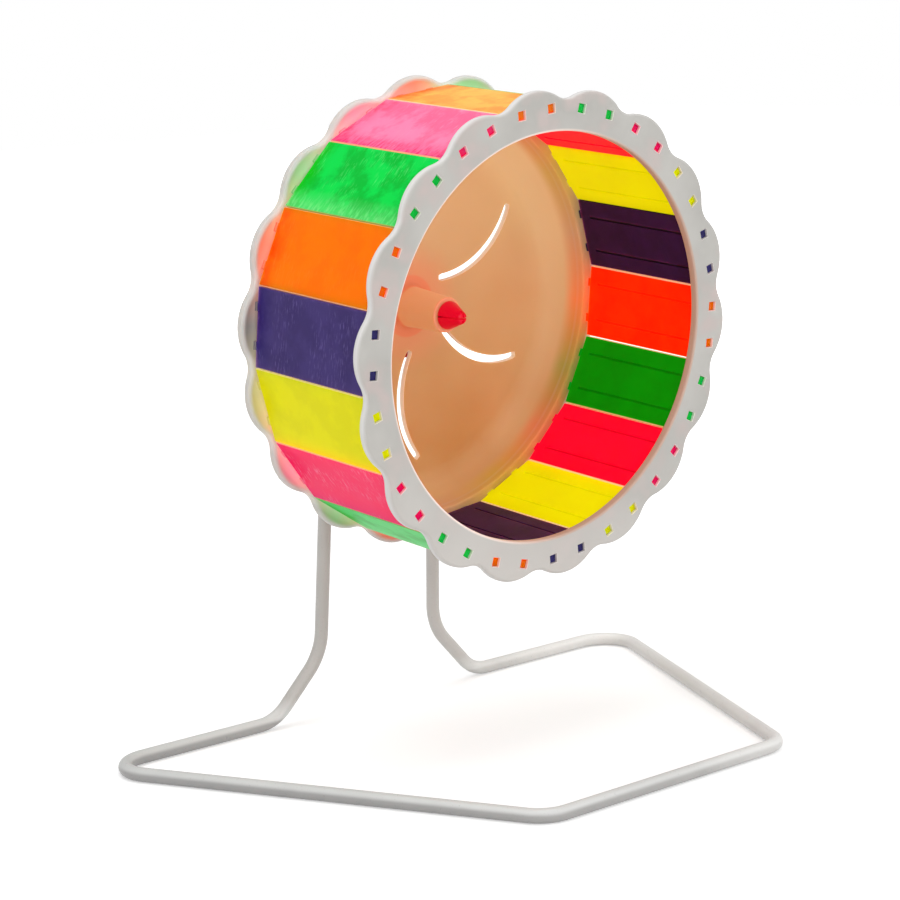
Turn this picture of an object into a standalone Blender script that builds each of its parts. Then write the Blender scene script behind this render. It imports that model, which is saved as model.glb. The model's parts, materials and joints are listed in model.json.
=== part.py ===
"""Hamster exercise wheel on a bent wire stand.

Metres, +Z up. The open mouth of the wheel looks along -Y. The origin is on the floor, under the middle of
the stand. One round wire makes the floor loop and the two uprights, which lean forward. The axle bracket is
clamped between the uprights and carries the wheel, whose axis is square to them. The wheel is a front ring,
a dished rear disc and eighteen planks between them.
"""

import math

import bmesh
import bpy
from mathutils import Matrix, Vector

# Clearances
FIT_GAP = 0.0003
THRUST_GAP = 0.0004
CUT_OVERRUN = 0.001

# Edges blunter than this are shaded smooth
SMOOTH_LIMIT = math.radians(32)

# Wire stand
WIRE_RADIUS = 0.0025
WIRE_SIDES = 12
BASE_DEPTH = 0.1555
BASE_FRONT_HALF = 0.0556
BASE_REAR_HALF = 0.1278
FOOT_HALF = 0.0485
KNEE_HALF = 0.0274
KNEE_RISE = 0.0224
AXLE_HALF = 0.0239
AXLE_RISE = 0.1529
LEAN = math.radians(4.85)
FRONT_BEND = 0.012
REAR_BEND = 0.013
FOOT_BEND = 0.016
KNEE_BEND = 0.022
ARCH_BEND_SHARE = 0.97
BEND_STEP = math.radians(18)

# Axle bracket, in two halves that close over the wire
BRACKET_HALF = 0.0045
BRACKET_EDGE = 0.0008
BRACKET_INSET = 0.0012
BRACKET_SKIRT = 0.0085
BRACKET_CORNER = 0.005
EAR_REACH = 0.0062
EAR_TOP = 0.0035
EAR_HEIGHT = 0.010
EAR_CORNER = 0.002
EAR_ROOT = 0.001
COLLAR_RADIUS = 0.011
COLLAR_LENGTH = 0.0095
PIN_RADIUS = 0.0042
PIN_SLIT = 0.0009
PIN_SLIT_LENGTH = 0.019
HEAD_CATCH = 0.0006
HEAD_LENGTH = 0.0083
HEAD_RIM = 0.0011
HEAD_TIP_RADIUS = 0.0022
HEAD_TIP_DOME = 0.0008
PIN_SIDES = 24

# Screws that join the bracket's halves
SCREW_SIDE_INSET = 0.0084
SCREW_FOOT_INSET = 0.0070
SCREW_TOP = 0.0075
SCREW_SHANK = 0.0013
SCREW_HEAD_RADIUS = 0.0028
SCREW_HEAD_HEIGHT = 0.0019
SCREW_HEAD_EDGE = 0.0005
SCREW_BITE = 0.0028
SCREW_RECESS_REACH = 0.0016
SCREW_RECESS_WIDTH = 0.0007
SCREW_RECESS_DEPTH = 0.0009
SCREW_SIDES = 16

# Planks. The tabs' offset is a share of half a plank's width.
PLANK_LENGTH = 0.0573
PLANK_OUTER = 0.0800
PLANK_THICKNESS = 0.0043
PLANK_SEAM = 0.0004
PLANK_EDGE = 0.0003
REAR_SHOULDER_GAP = 0.0017
TAB_SIZE = 0.0029
TAB_OFFSET_SHARE = 0.475
TAB_COVER = 0.0004
TAB_RECESS = 0.0008
TAB_EDGE = 0.0003
TAB_HOLE_GAP = 0.00035
GROOVE_WIDTH = 0.0010
GROOVE_DEPTH = 0.0004
GROOVE_END = 0.0045

# Scalloped rims, the same outline on the front ring and on the rear disc. The shares are of the radius
# over the planks. A lobe has an even number of steps, so that a corner lies on its tip.
RIM_LIP_SHARE = 0.0625
RIM_LOBE_SHARE = 0.2275
RIM_VALLEY_SHARE = 0.1144
RIM_THICKNESS = 0.0033
RIM_EDGE = 0.0011
MOUTH_LIP = 0.0051
MOUTH_EDGE = 0.0008
LOBE_STEPS = 6
VALLEY_STEPS = 2

# Rear disc
DISH_LIP = 0.0015
DISH_MOUTH_EDGE = 0.0007
DISH_DEPTH = 0.0137
DISH_RUN = 0.0122
DISC_THICKNESS = 0.0012
DISH_STEPS = 6
CIRCLE_SIDES = 60
BOSS_WALL = 0.0019
BOSS_TAPER = 0.0010
BOSS_ROOT_FILLET = 0.0015
BOSS_TIP_EDGE = 0.0005
BOSS_LENGTH = 0.02135

# Vent slots in the disc, each a crescent round an arc. The shares are of the flat disc's radius.
SLOT_COUNT = 6
SLOT_ARC_SHARE = 0.572
SLOT_CENTRE_SHARE = 0.75
SLOT_TURN = math.radians(4.0)
SLOT_INNER_ANGLE = math.radians(162)
SLOT_SWEEP = math.radians(70.4)
SLOT_MIDDLE_HALF = 0.00165
SLOT_END_HALF = 0.0013
SLOT_STEPS = 10

# How far the wheel stands turned, clockwise from the front, from the first plank straight up
WHEEL_TURN = math.radians(12.63)

# Places along the axle, zero in the plane of the uprights and negative towards the front
BRACKET_FRONT_Y = -BRACKET_HALF
COLLAR_FACE_Y = BRACKET_FRONT_Y - COLLAR_LENGTH
DISC_BACK_Y = COLLAR_FACE_Y - THRUST_GAP
DISC_FRONT_Y = DISC_BACK_Y - DISC_THICKNESS
FLANGE_FRONT_Y = DISC_FRONT_Y - DISH_DEPTH
FLANGE_BACK_Y = FLANGE_FRONT_Y + RIM_THICKNESS
PLANK_REAR_Y = FLANGE_FRONT_Y - REAR_SHOULDER_GAP
PLANK_FRONT_Y = PLANK_REAR_Y - PLANK_LENGTH
RING_BACK_Y = PLANK_FRONT_Y - FIT_GAP
RING_FRONT_Y = RING_BACK_Y - RIM_THICKNESS
BOSS_FRONT_Y = DISC_FRONT_Y - BOSS_LENGTH
HEAD_BASE_Y = BOSS_FRONT_Y - FIT_GAP
HEAD_TIP_Y = HEAD_BASE_Y - HEAD_LENGTH

# Plank colours, in order round the wheel
COLOURS = {
    "green": (0.0, 0.62, 0.06),
    "pink": (1.0, 0.05, 0.20),
    "yellow": (0.76, 0.75, 0.0),
    "indigo": (0.055, 0.03, 0.17),
    "orange": (1.0, 0.20, 0.0),
}
PLANK_ORDER = ["green", "pink", "yellow", "indigo", "orange"] * 3 + ["green", "pink", "orange"]
PLANK_COUNT = len(PLANK_ORDER)

# Sizes that follow from those above
HALF_PITCH = math.pi / PLANK_COUNT
PLANK_INNER = PLANK_OUTER - PLANK_THICKNESS
TAB_CENTRE = PLANK_OUTER - TAB_COVER - TAB_SIZE / 2
TAB_OFFSET = PLANK_OUTER * math.tan(HALF_PITCH) * TAB_OFFSET_SHARE
RIM_TIP_RADIUS = PLANK_OUTER * (1 + RIM_LIP_SHARE)
RIM_LOBE_RADIUS = PLANK_OUTER * RIM_LOBE_SHARE
RIM_VALLEY_RADIUS = PLANK_OUTER * RIM_VALLEY_SHARE
MOUTH_RADIUS = PLANK_INNER - MOUTH_LIP
DISH_MOUTH_RADIUS = PLANK_INNER - DISH_LIP
DISC_FLAT_RADIUS = DISH_MOUTH_RADIUS - DISH_RUN
SLOT_ARC_RADIUS = DISC_FLAT_RADIUS * SLOT_ARC_SHARE
SLOT_CENTRE_RADIUS = DISC_FLAT_RADIUS * SLOT_CENTRE_SHARE
HEAD_RADIUS = PIN_RADIUS + FIT_GAP + HEAD_CATCH
BORE_RADIUS = (PIN_RADIUS + FIT_GAP) / math.cos(math.pi / PIN_SIDES)
BOSS_TIP_RADIUS = PIN_RADIUS + FIT_GAP + BOSS_WALL
BOSS_ROOT_RADIUS = BOSS_TIP_RADIUS + BOSS_TAPER
EAR_BOTTOM = EAR_TOP + EAR_HEIGHT
BRACKET_DROP = EAR_BOTTOM + BRACKET_SKIRT
SCREW_HALF_SPAN = AXLE_HALF - SCREW_SIDE_INSET
SCREW_BOTTOM = BRACKET_DROP - SCREW_FOOT_INSET


def clear_scene():
    """Remove every object, so that the script starts from nothing."""
    for leftover in list(bpy.data.objects):
        bpy.data.objects.remove(leftover, do_unlink=True)


def make_material(name, colour, roughness, metallic=0.0):
    """A plain Principled material."""
    material = bpy.data.materials.new(name)
    material.use_nodes = True
    shader = material.node_tree.nodes["Principled BSDF"]
    shader.inputs["Base Color"].default_value = (*colour, 1.0)
    shader.inputs["Roughness"].default_value = roughness
    shader.inputs["Metallic"].default_value = metallic
    material.diffuse_color = (*colour, 1.0)
    return material


def add_piece(name, mesh, material, parent=None):
    """Put a mesh into the scene as a named piece, with a material of its own."""
    piece = bpy.data.objects.new(name, mesh)
    bpy.context.collection.objects.link(piece)
    piece.parent = parent
    if not mesh.materials:
        mesh.materials.append(material)
    piece.material_slots[0].link = "OBJECT"
    piece.material_slots[0].material = material
    return piece


def add_cutter(name, mesh, parent=None):
    """Put a mesh into the scene as a cutting tool, which isn't a piece."""
    cutter = bpy.data.objects.new(name, mesh)
    bpy.context.collection.objects.link(cutter)
    cutter.parent = parent
    cutter.hide_render = True
    cutter.display_type = "WIRE"
    return cutter


def add_empty(name, parent=None):
    """Put an empty into the scene, to hold pieces in a turned frame."""
    empty = bpy.data.objects.new(name, None)
    bpy.context.collection.objects.link(empty)
    empty.parent = parent
    return empty


def combine(piece, tool, operation):
    """Cut a tool out of a piece, or join it on."""
    modifier = piece.modifiers.new(f"{operation.lower()}_{tool.name}", "BOOLEAN")
    modifier.operation = operation
    modifier.object = tool


def finish_mesh(name, shape):
    """Turn a bmesh into a mesh with its faces pointing out and its round faces smooth."""
    bmesh.ops.recalc_face_normals(shape, faces=shape.faces)
    mesh = bpy.data.meshes.new(name)
    shape.to_mesh(mesh)
    shape.free()
    mesh.shade_smooth()
    mesh.set_sharp_from_angle(angle=SMOOTH_LIMIT)
    return mesh


# Loops and the faces between them

def add_loop(shape, outline, depth):
    """New corners for an outline, moved along the axle by a depth."""
    return [shape.verts.new((point.x, point.y + depth, point.z)) for point in outline]


def bridge(shape, first, second):
    """Faces between two loops with equally many corners."""
    count = len(first)
    for index in range(count):
        following = (index + 1) % count
        shape.faces.new((first[index], first[following], second[following], second[index]))


def bridge_all(shape, loops):
    """Faces between each loop and the next."""
    for first, second in zip(loops, loops[1:]):
        bridge(shape, first, second)


def fill(shape, loops):
    """Flat faces inside the first loop and outside the others."""
    edges = []
    for loop in loops:
        for start, end in zip(loop, loop[1:] + loop[:1]):
            edges.append(shape.edges.get((start, end)) or shape.edges.new((start, end)))
    bmesh.ops.triangle_fill(shape, use_beauty=True, use_dissolve=False, edges=edges)


def spoke(angle, radius):
    """Point at a radius, at an angle clockwise from straight up as seen from the front."""
    return Vector((radius * math.sin(angle), 0, radius * math.cos(angle)))


def circle(radius, sides):
    """Corners of a round outline."""
    return [spoke(2 * math.pi * index / sides, radius) for index in range(sides)]


def rounding(edge, steps=2):
    """Inset and depth of each step of a rounded edge, from the flat face to the side."""
    turns = [math.pi / 2 * index / steps for index in range(steps + 1)]
    return [(edge * (1 - math.sin(turn)), edge * (1 - math.cos(turn))) for turn in turns]


def edge_levels(edge, front, back):
    """Inset and place of each loop round a plate, whose front edge is rounded and back edge bevelled."""
    levels = [(inset, front + depth) for inset, depth in rounding(edge)]
    return levels + [(inset, back - depth) for inset, depth in reversed(rounding(edge, 1))]


def rounded_path(corners, bends, step=BEND_STEP):
    """Closed path along straight runs, with an arc of its own bend radius at each corner."""
    path = []
    for index, corner in enumerate(corners):
        before = (corners[index - 1] - corner).normalized()
        after = (corners[(index + 1) % len(corners)] - corner).normalized()
        half = before.angle(after) / 2
        centre = corner + (before + after).normalized() * (bends[index] / math.sin(half))
        start = corner + before * (bends[index] / math.tan(half)) - centre
        sweep = math.pi - 2 * half
        axis = after.cross(before).normalized()
        steps = max(1, math.ceil(sweep / step))
        for turn in range(steps + 1):
            path.append(centre + Matrix.Rotation(sweep * turn / steps, 3, axis) @ start)
    return path


def add_sides(shape, outline, levels):
    """Sides of a plate or of its opening. The outline is a function of its inset."""
    loops = [add_loop(shape, outline(inset), depth) for inset, depth in levels]
    bridge_all(shape, loops)
    return loops


def plate_mesh(name, outline, front, back, edge):
    """Flat plate with softened edges."""
    shape = bmesh.new()
    loops = add_sides(shape, outline, edge_levels(edge, front, back))
    fill(shape, loops[:1])
    fill(shape, loops[-1:])
    return finish_mesh(name, shape)


def turned_solid(shape, profile, sides, centre=None):
    """Solid of revolution about the axle. The profile is (radius, y), and starts and ends on the axle."""
    centre = centre or Vector((0, 0, 0))
    loops = []
    for radius, depth in profile[1:-1]:
        loops.append(add_loop(shape, [centre + point for point in circle(radius, sides)], depth))
    bridge_all(shape, loops)
    for loop, depth in ((loops[0], profile[0][1]), (loops[-1], profile[-1][1])):
        pole = shape.verts.new((centre.x, depth, centre.z))
        for start, end in zip(loop, loop[1:] + loop[:1]):
            shape.faces.new((start, end, pole))


def box_mesh(name, low, high):
    """Box between two corners."""
    shape = bmesh.new()
    bmesh.ops.create_cube(shape, size=1)
    size = [top - bottom for bottom, top in zip(low, high)]
    middle = [(top + bottom) / 2 for bottom, top in zip(low, high)]
    bmesh.ops.scale(shape, vec=size, verts=shape.verts)
    bmesh.ops.translate(shape, vec=middle, verts=shape.verts)
    return finish_mesh(name, shape)


# Wire stand

def upright_half(rise):
    """Half the distance between the uprights' centre lines, at a height along them from the floor loop."""
    slope = (AXLE_HALF - KNEE_HALF) / (AXLE_RISE - KNEE_RISE)
    return KNEE_HALF + slope * (rise - KNEE_RISE)


def stand_path():
    """Centre line of the bent wire, once round, from the front bar's right end."""
    rear_y = BASE_DEPTH / 2
    arch_rise = AXLE_RISE + AXLE_HALF
    arch_half = upright_half(arch_rise)

    def on_floor(x, y):
        return Vector((x, y, WIRE_RADIUS))

    def on_lean(x, rise):
        return Vector((x, rear_y - rise * math.sin(LEAN), WIRE_RADIUS + rise * math.cos(LEAN)))

    right = [
        on_floor(BASE_FRONT_HALF, -rear_y),
        on_floor(BASE_REAR_HALF, rear_y),
        on_lean(FOOT_HALF, 0),
        on_lean(KNEE_HALF, KNEE_RISE),
        on_lean(arch_half, arch_rise),
    ]
    bends = [FRONT_BEND, REAR_BEND, FOOT_BEND, KNEE_BEND, arch_half * ARCH_BEND_SHARE]
    left = [Vector((-point.x, point.y, point.z)) for point in reversed(right)]
    return rounded_path(right + left, bends + bends[::-1])


def tube_mesh(name, path, radius):
    """Closed tube whose cross-section is carried along a closed path without twisting."""
    shape = bmesh.new()
    reach = radius / math.cos(math.pi / WIRE_SIDES)
    side_turns = [2 * math.pi * (side + 0.5) / WIRE_SIDES for side in range(WIRE_SIDES)]
    up = Vector((0, 0, 1))
    last = None
    loops = []
    for index, point in enumerate(path):
        ahead = (path[(index + 1) % len(path)] - point).normalized()
        behind = (point - path[index - 1]).normalized()
        tangent = (ahead + behind).normalized()
        if last:
            up.rotate(last.rotation_difference(tangent))
        last = tangent
        across = tangent.cross(up)
        ring = [point + reach * (up * math.cos(turn) + across * math.sin(turn)) for turn in side_turns]
        loops.append([shape.verts.new(corner) for corner in ring])
    bridge_all(shape, loops + loops[:1])
    return finish_mesh(name, shape)


# Axle bracket

def bracket_outline(inset):
    """Arch that fills the space between the uprights, with an ear round each of them."""
    arch = upright_half(AXLE_RISE) - BRACKET_INSET - inset
    foot = upright_half(AXLE_RISE - BRACKET_DROP) - BRACKET_INSET - inset
    ear = upright_half(AXLE_RISE - EAR_TOP) + EAR_REACH - inset
    right = [
        (arch, arch, arch * ARCH_BEND_SHARE),
        (arch, -EAR_TOP - inset, EAR_ROOT + inset),
        (ear, -EAR_TOP - inset, EAR_CORNER - inset),
        (ear, inset - EAR_BOTTOM, EAR_CORNER - inset),
        (foot, inset - EAR_BOTTOM, EAR_ROOT + inset),
        (foot, inset - BRACKET_DROP, BRACKET_CORNER - inset),
    ]
    corners = [Vector((x, 0, z)) for x, z, bend in right]
    corners += [Vector((-x, 0, z)) for x, z, bend in reversed(right)]
    bends = [bend for x, z, bend in right]
    return rounded_path(corners, bends + bends[::-1], BEND_STEP * 2)


def screw_places():
    """Centres of the four screws."""
    rows = (SCREW_TOP, -SCREW_BOTTOM)
    return [Vector((side * SCREW_HALF_SPAN, 0, row)) for row in rows for side in (-1, 1)]


def pin_profile():
    """Thrust collar, pin and snap head, from inside the bracket to the tip."""
    return [
        (0, BRACKET_FRONT_Y + CUT_OVERRUN),
        (COLLAR_RADIUS, BRACKET_FRONT_Y + CUT_OVERRUN),
        (COLLAR_RADIUS, COLLAR_FACE_Y + BRACKET_EDGE),
        (COLLAR_RADIUS - BRACKET_EDGE, COLLAR_FACE_Y),
        (PIN_RADIUS, COLLAR_FACE_Y),
        (PIN_RADIUS, HEAD_BASE_Y),
        (HEAD_RADIUS, HEAD_BASE_Y),
        (HEAD_RADIUS, HEAD_BASE_Y - HEAD_RIM),
        (HEAD_TIP_RADIUS, HEAD_TIP_Y + HEAD_TIP_DOME),
        (HEAD_TIP_RADIUS / 2, HEAD_TIP_Y + HEAD_TIP_DOME / 4),
        (0, HEAD_TIP_Y),
    ]


def turned_mesh(name, profile, sides, centres):
    """Mesh with one turned solid at each centre."""
    shape = bmesh.new()
    for centre in centres:
        turned_solid(shape, profile, sides, centre)
    return finish_mesh(name, shape)


def cross_mesh(name, centres, front, back):
    """Cross-shaped cutters for the screws' recesses."""
    shape = bmesh.new()
    half = SCREW_RECESS_WIDTH / 2
    reach = SCREW_RECESS_REACH
    quarter = [(-half, half), (-half, reach), (half, reach)]
    cross = []
    for turn in range(4):
        spin = Matrix.Rotation(turn * math.pi / 2, 3, "Y")
        cross += [spin @ Vector((x, 0, z)) for x, z in quarter]
    for centre in centres:
        loops = [add_loop(shape, [centre + point for point in cross], depth) for depth in (front, back)]
        bridge_all(shape, loops)
        fill(shape, loops[:1])
        fill(shape, loops[1:])
    return finish_mesh(name, shape)


def build_bracket(frame, pink, steel):
    """Axle plate with its pin, the cover behind it, and the screws."""
    origin = [Vector((0, 0, 0))]
    places = screw_places()
    parting = FIT_GAP / 2
    wire_room = add_cutter("wire_room", tube_mesh("wire_room", stand_path(), WIRE_RADIUS + FIT_GAP))

    plate = plate_mesh("axle_plate", bracket_outline, BRACKET_FRONT_Y, -parting, BRACKET_EDGE)
    axle_plate = add_piece("axle_plate", plate, pink, frame)
    pin = add_cutter("pin", turned_mesh("pin", pin_profile(), PIN_SIDES, origin), frame)
    slit_box = box_mesh(
        "pin_slit",
        (-HEAD_RADIUS - CUT_OVERRUN, HEAD_TIP_Y - CUT_OVERRUN, -PIN_SLIT / 2),
        (HEAD_RADIUS + CUT_OVERRUN, HEAD_TIP_Y + PIN_SLIT_LENGTH, PIN_SLIT / 2),
    )
    slit = add_cutter("pin_slit", slit_box, frame)

    screw_tip_y = -parting - SCREW_BITE
    bore_radius = SCREW_SHANK + FIT_GAP
    pilot_profile = [
        (0, screw_tip_y - FIT_GAP),
        (bore_radius, screw_tip_y - FIT_GAP),
        (bore_radius, CUT_OVERRUN),
        (0, CUT_OVERRUN),
    ]
    pilot_mesh = turned_mesh("pilot_holes", pilot_profile, SCREW_SIDES, places)
    pilots = add_cutter("pilot_holes", pilot_mesh, frame)
    combine(axle_plate, pin, "UNION")
    combine(axle_plate, slit, "DIFFERENCE")
    combine(axle_plate, wire_room, "DIFFERENCE")
    combine(axle_plate, pilots, "DIFFERENCE")

    cover_mesh = plate_mesh("clamp_cover", bracket_outline, parting, BRACKET_HALF, BRACKET_EDGE)
    clamp_cover = add_piece("clamp_cover", cover_mesh, pink, frame)
    head_top_y = BRACKET_HALF - FIT_GAP
    head_seat_y = head_top_y - SCREW_HEAD_HEIGHT
    pocket_radius = SCREW_HEAD_RADIUS + FIT_GAP
    pocket_profile = [
        (0, -CUT_OVERRUN),
        (bore_radius, -CUT_OVERRUN),
        (bore_radius, head_seat_y - FIT_GAP),
        (pocket_radius, head_seat_y - FIT_GAP),
        (pocket_radius, BRACKET_HALF + CUT_OVERRUN),
        (0, BRACKET_HALF + CUT_OVERRUN),
    ]
    pocket_mesh = turned_mesh("screw_pockets", pocket_profile, SCREW_SIDES, places)
    pockets = add_cutter("screw_pockets", pocket_mesh, frame)
    combine(clamp_cover, wire_room, "DIFFERENCE")
    combine(clamp_cover, pockets, "DIFFERENCE")

    screw_profile = [
        (0, screw_tip_y),
        (SCREW_SHANK / 2, screw_tip_y),
        (SCREW_SHANK, screw_tip_y + SCREW_SHANK / 2),
        (SCREW_SHANK, head_seat_y),
        (SCREW_HEAD_RADIUS, head_seat_y),
        (SCREW_HEAD_RADIUS, head_top_y - SCREW_HEAD_EDGE),
        (SCREW_HEAD_RADIUS - SCREW_HEAD_EDGE, head_top_y),
        (0, head_top_y),
    ]
    screw_mesh = turned_mesh("clamp_screw", screw_profile, SCREW_SIDES, origin)
    recess_top = head_top_y + CUT_OVERRUN
    crosses = cross_mesh("screw_recesses", places, head_top_y - SCREW_RECESS_DEPTH, recess_top)
    recesses = add_cutter("screw_recesses", crosses, frame)
    for index, place in enumerate(places):
        screw = add_piece(f"clamp_screw_{index + 1}", screw_mesh, steel, frame)
        screw.location = place
        combine(screw, recesses, "DIFFERENCE")


# Wheel

def scallop_outline(inset):
    """Scalloped rim: one lobe at each plank's middle, with a round valley at each seam."""
    lobe_centre = RIM_TIP_RADIUS - RIM_LOBE_RADIUS
    apart = RIM_LOBE_RADIUS + RIM_VALLEY_RADIUS
    sideways = lobe_centre * math.sin(HALF_PITCH)
    valley_centre = lobe_centre * math.cos(HALF_PITCH) + math.sqrt(apart ** 2 - sideways ** 2)
    step_out = valley_centre * math.cos(HALF_PITCH) - lobe_centre
    lobe_turn = math.atan2(valley_centre * math.sin(HALF_PITCH), step_out)
    valley_turn = lobe_turn - HALF_PITCH
    outline = []
    for index in range(PLANK_COUNT):
        middle = 2 * HALF_PITCH * index
        for step in range(LOBE_STEPS + 1):
            turn = middle + lobe_turn * (2 * step / LOBE_STEPS - 1)
            outline.append(spoke(middle, lobe_centre) + spoke(turn, RIM_LOBE_RADIUS - inset))
        seam = middle + HALF_PITCH
        for step in range(1, VALLEY_STEPS):
            turn = seam + math.pi + valley_turn * (1 - 2 * step / VALLEY_STEPS)
            outline.append(spoke(seam, valley_centre) + spoke(turn, RIM_VALLEY_RADIUS + inset))
    return outline


def tab_holes():
    """Square holes for the planks' tabs, two for each plank."""
    half = TAB_SIZE / 2 + TAB_HOLE_GAP
    holes = []
    for index in range(PLANK_COUNT):
        turn = Matrix.Rotation(2 * HALF_PITCH * index, 3, "Y")
        for side in (-1, 1):
            middle = side * TAB_OFFSET
            corners = [(middle - half, TAB_CENTRE - half), (middle + half, TAB_CENTRE - half),
                       (middle + half, TAB_CENTRE + half), (middle - half, TAB_CENTRE + half)]
            holes.append([turn @ Vector((x, 0, z)) for x, z in corners])
    return holes


def add_holes(shape, holes, front, back):
    """Straight sides of through holes. Gives the front loops and the back loops."""
    front_loops = [add_loop(shape, hole, front) for hole in holes]
    back_loops = [add_loop(shape, hole, back) for hole in holes]
    for front_loop, back_loop in zip(front_loops, back_loops):
        bridge(shape, front_loop, back_loop)
    return front_loops, back_loops


def front_ring_mesh():
    """Front ring: the scalloped rim, its round mouth and the tab holes."""
    shape = bmesh.new()
    rim = add_sides(shape, scallop_outline, edge_levels(RIM_EDGE, RING_FRONT_Y, RING_BACK_Y))

    def mouth_outline(inset):
        return circle(MOUTH_RADIUS + inset, CIRCLE_SIDES)

    mouth = add_sides(shape, mouth_outline, edge_levels(MOUTH_EDGE, RING_FRONT_Y, RING_BACK_Y))
    front_holes, back_holes = add_holes(shape, tab_holes(), RING_FRONT_Y, RING_BACK_Y)
    fill(shape, [rim[0], mouth[0]] + front_holes)
    fill(shape, [rim[-1], mouth[-1]] + back_holes)
    return finish_mesh("front_ring", shape)


def slot_outlines():
    """Crescent outlines of the vent slots."""
    outlines = []
    for index in range(SLOT_COUNT):
        spoke_turn = SLOT_TURN + 2 * math.pi * index / SLOT_COUNT
        centre = spoke(spoke_turn, SLOT_CENTRE_RADIUS)
        inner, outer = [], []
        for step in range(SLOT_STEPS + 1):
            share = step / SLOT_STEPS
            half = SLOT_END_HALF + (SLOT_MIDDLE_HALF - SLOT_END_HALF) * math.sin(math.pi * share)
            turn = spoke_turn + SLOT_INNER_ANGLE - SLOT_SWEEP * share
            inner.append(centre + spoke(turn, SLOT_ARC_RADIUS - half))
            outer.append(centre + spoke(turn, SLOT_ARC_RADIUS + half))
        outlines.append(inner + outer[::-1])
    return outlines


def dish_profiles():
    """Front and back of the dished wall, from the flange to the flat disc, as (radius, y)."""
    radial = DISH_MOUTH_RADIUS - DISC_FLAT_RADIUS
    outer_radial = radial + DISC_THICKNESS
    outer_depth = DISH_DEPTH + DISC_THICKNESS
    front_start = math.asin(DISH_MOUTH_EDGE / DISH_DEPTH)
    back_start = math.asin(RIM_THICKNESS / outer_depth)
    lip = rounding(DISH_MOUTH_EDGE)[:-1]

    def quarter(start, reach, depth):
        turns = [start + (math.pi / 2 - start) * step / DISH_STEPS for step in range(DISH_STEPS + 1)]
        return [(DISC_FLAT_RADIUS + reach * math.cos(turn), FLANGE_FRONT_Y + depth * math.sin(turn))
                for turn in turns]

    front = [(DISH_MOUTH_RADIUS + inset, FLANGE_FRONT_Y + depth) for inset, depth in lip]
    front += quarter(front_start, radial, DISH_DEPTH)
    back = quarter(back_start, outer_radial, outer_depth)
    return front, back


def fillet_steps(fillet, steps=2):
    """Outward reach and height of a hollow fillet, from the flat face to the boss's side."""
    turns = [math.pi / 2 * index / steps for index in range(steps + 1)]
    return [(fillet * (1 - math.sin(turn)), fillet * math.cos(turn)) for turn in turns]


def boss_profile():
    """Hub boss, from the disc's front face over its tip and back through the bore."""
    foot = [(BOSS_ROOT_RADIUS + inset, DISC_FRONT_Y - BOSS_ROOT_FILLET + depth)
            for inset, depth in fillet_steps(BOSS_ROOT_FILLET)]
    return foot + [
        (BOSS_TIP_RADIUS, BOSS_FRONT_Y + BOSS_TIP_EDGE),
        (BOSS_TIP_RADIUS - BOSS_TIP_EDGE, BOSS_FRONT_Y),
        (BORE_RADIUS, BOSS_FRONT_Y),
        (BORE_RADIUS, DISC_BACK_Y),
    ]


def rear_disc_mesh():
    """Rear disc: scalloped flange, dished wall, slotted flat disc and hub boss in one moulding."""
    shape = bmesh.new()
    rim = add_sides(shape, scallop_outline, edge_levels(RIM_EDGE, FLANGE_FRONT_Y, FLANGE_BACK_Y))
    front_profile, back_profile = dish_profiles()
    front_wall = [add_loop(shape, circle(radius, CIRCLE_SIDES), depth) for radius, depth in front_profile]
    back_wall = [add_loop(shape, circle(radius, CIRCLE_SIDES), depth) for radius, depth in back_profile]
    boss = [add_loop(shape, circle(radius, PIN_SIDES), depth) for radius, depth in boss_profile()]
    for loops in (front_wall, back_wall, boss):
        bridge_all(shape, loops)
    front_holes, back_holes = add_holes(shape, tab_holes(), FLANGE_FRONT_Y, FLANGE_BACK_Y)
    front_slots, back_slots = add_holes(shape, slot_outlines(), DISC_FRONT_Y, DISC_BACK_Y)
    fill(shape, [rim[0], front_wall[0]] + front_holes)
    fill(shape, [rim[-1], back_wall[0]] + back_holes)
    fill(shape, [front_wall[-1], boss[0]] + front_slots)
    fill(shape, [back_wall[-1], boss[-1]] + back_slots)
    return finish_mesh("rear_disc", shape)


def raise_from_face(shape, face, outlines, levels, direction):
    """Raise or sink an outline from a flat face. Each level is an inset and a distance."""
    border = list(face.verts)
    shape.faces.remove(face)
    feet = []
    for outline in outlines:
        loops = [[shape.verts.new(point + direction * distance) for point in outline(inset)]
                 for inset, distance in levels]
        bridge_all(shape, loops)
        shape.faces.new(loops[-1])
        feet.append(loops[0])
    fill(shape, [border] + feet)


def facing(shape, direction):
    """The face that looks most nearly in a direction."""
    return max(shape.faces, key=lambda face: face.normal.dot(direction))


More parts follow.
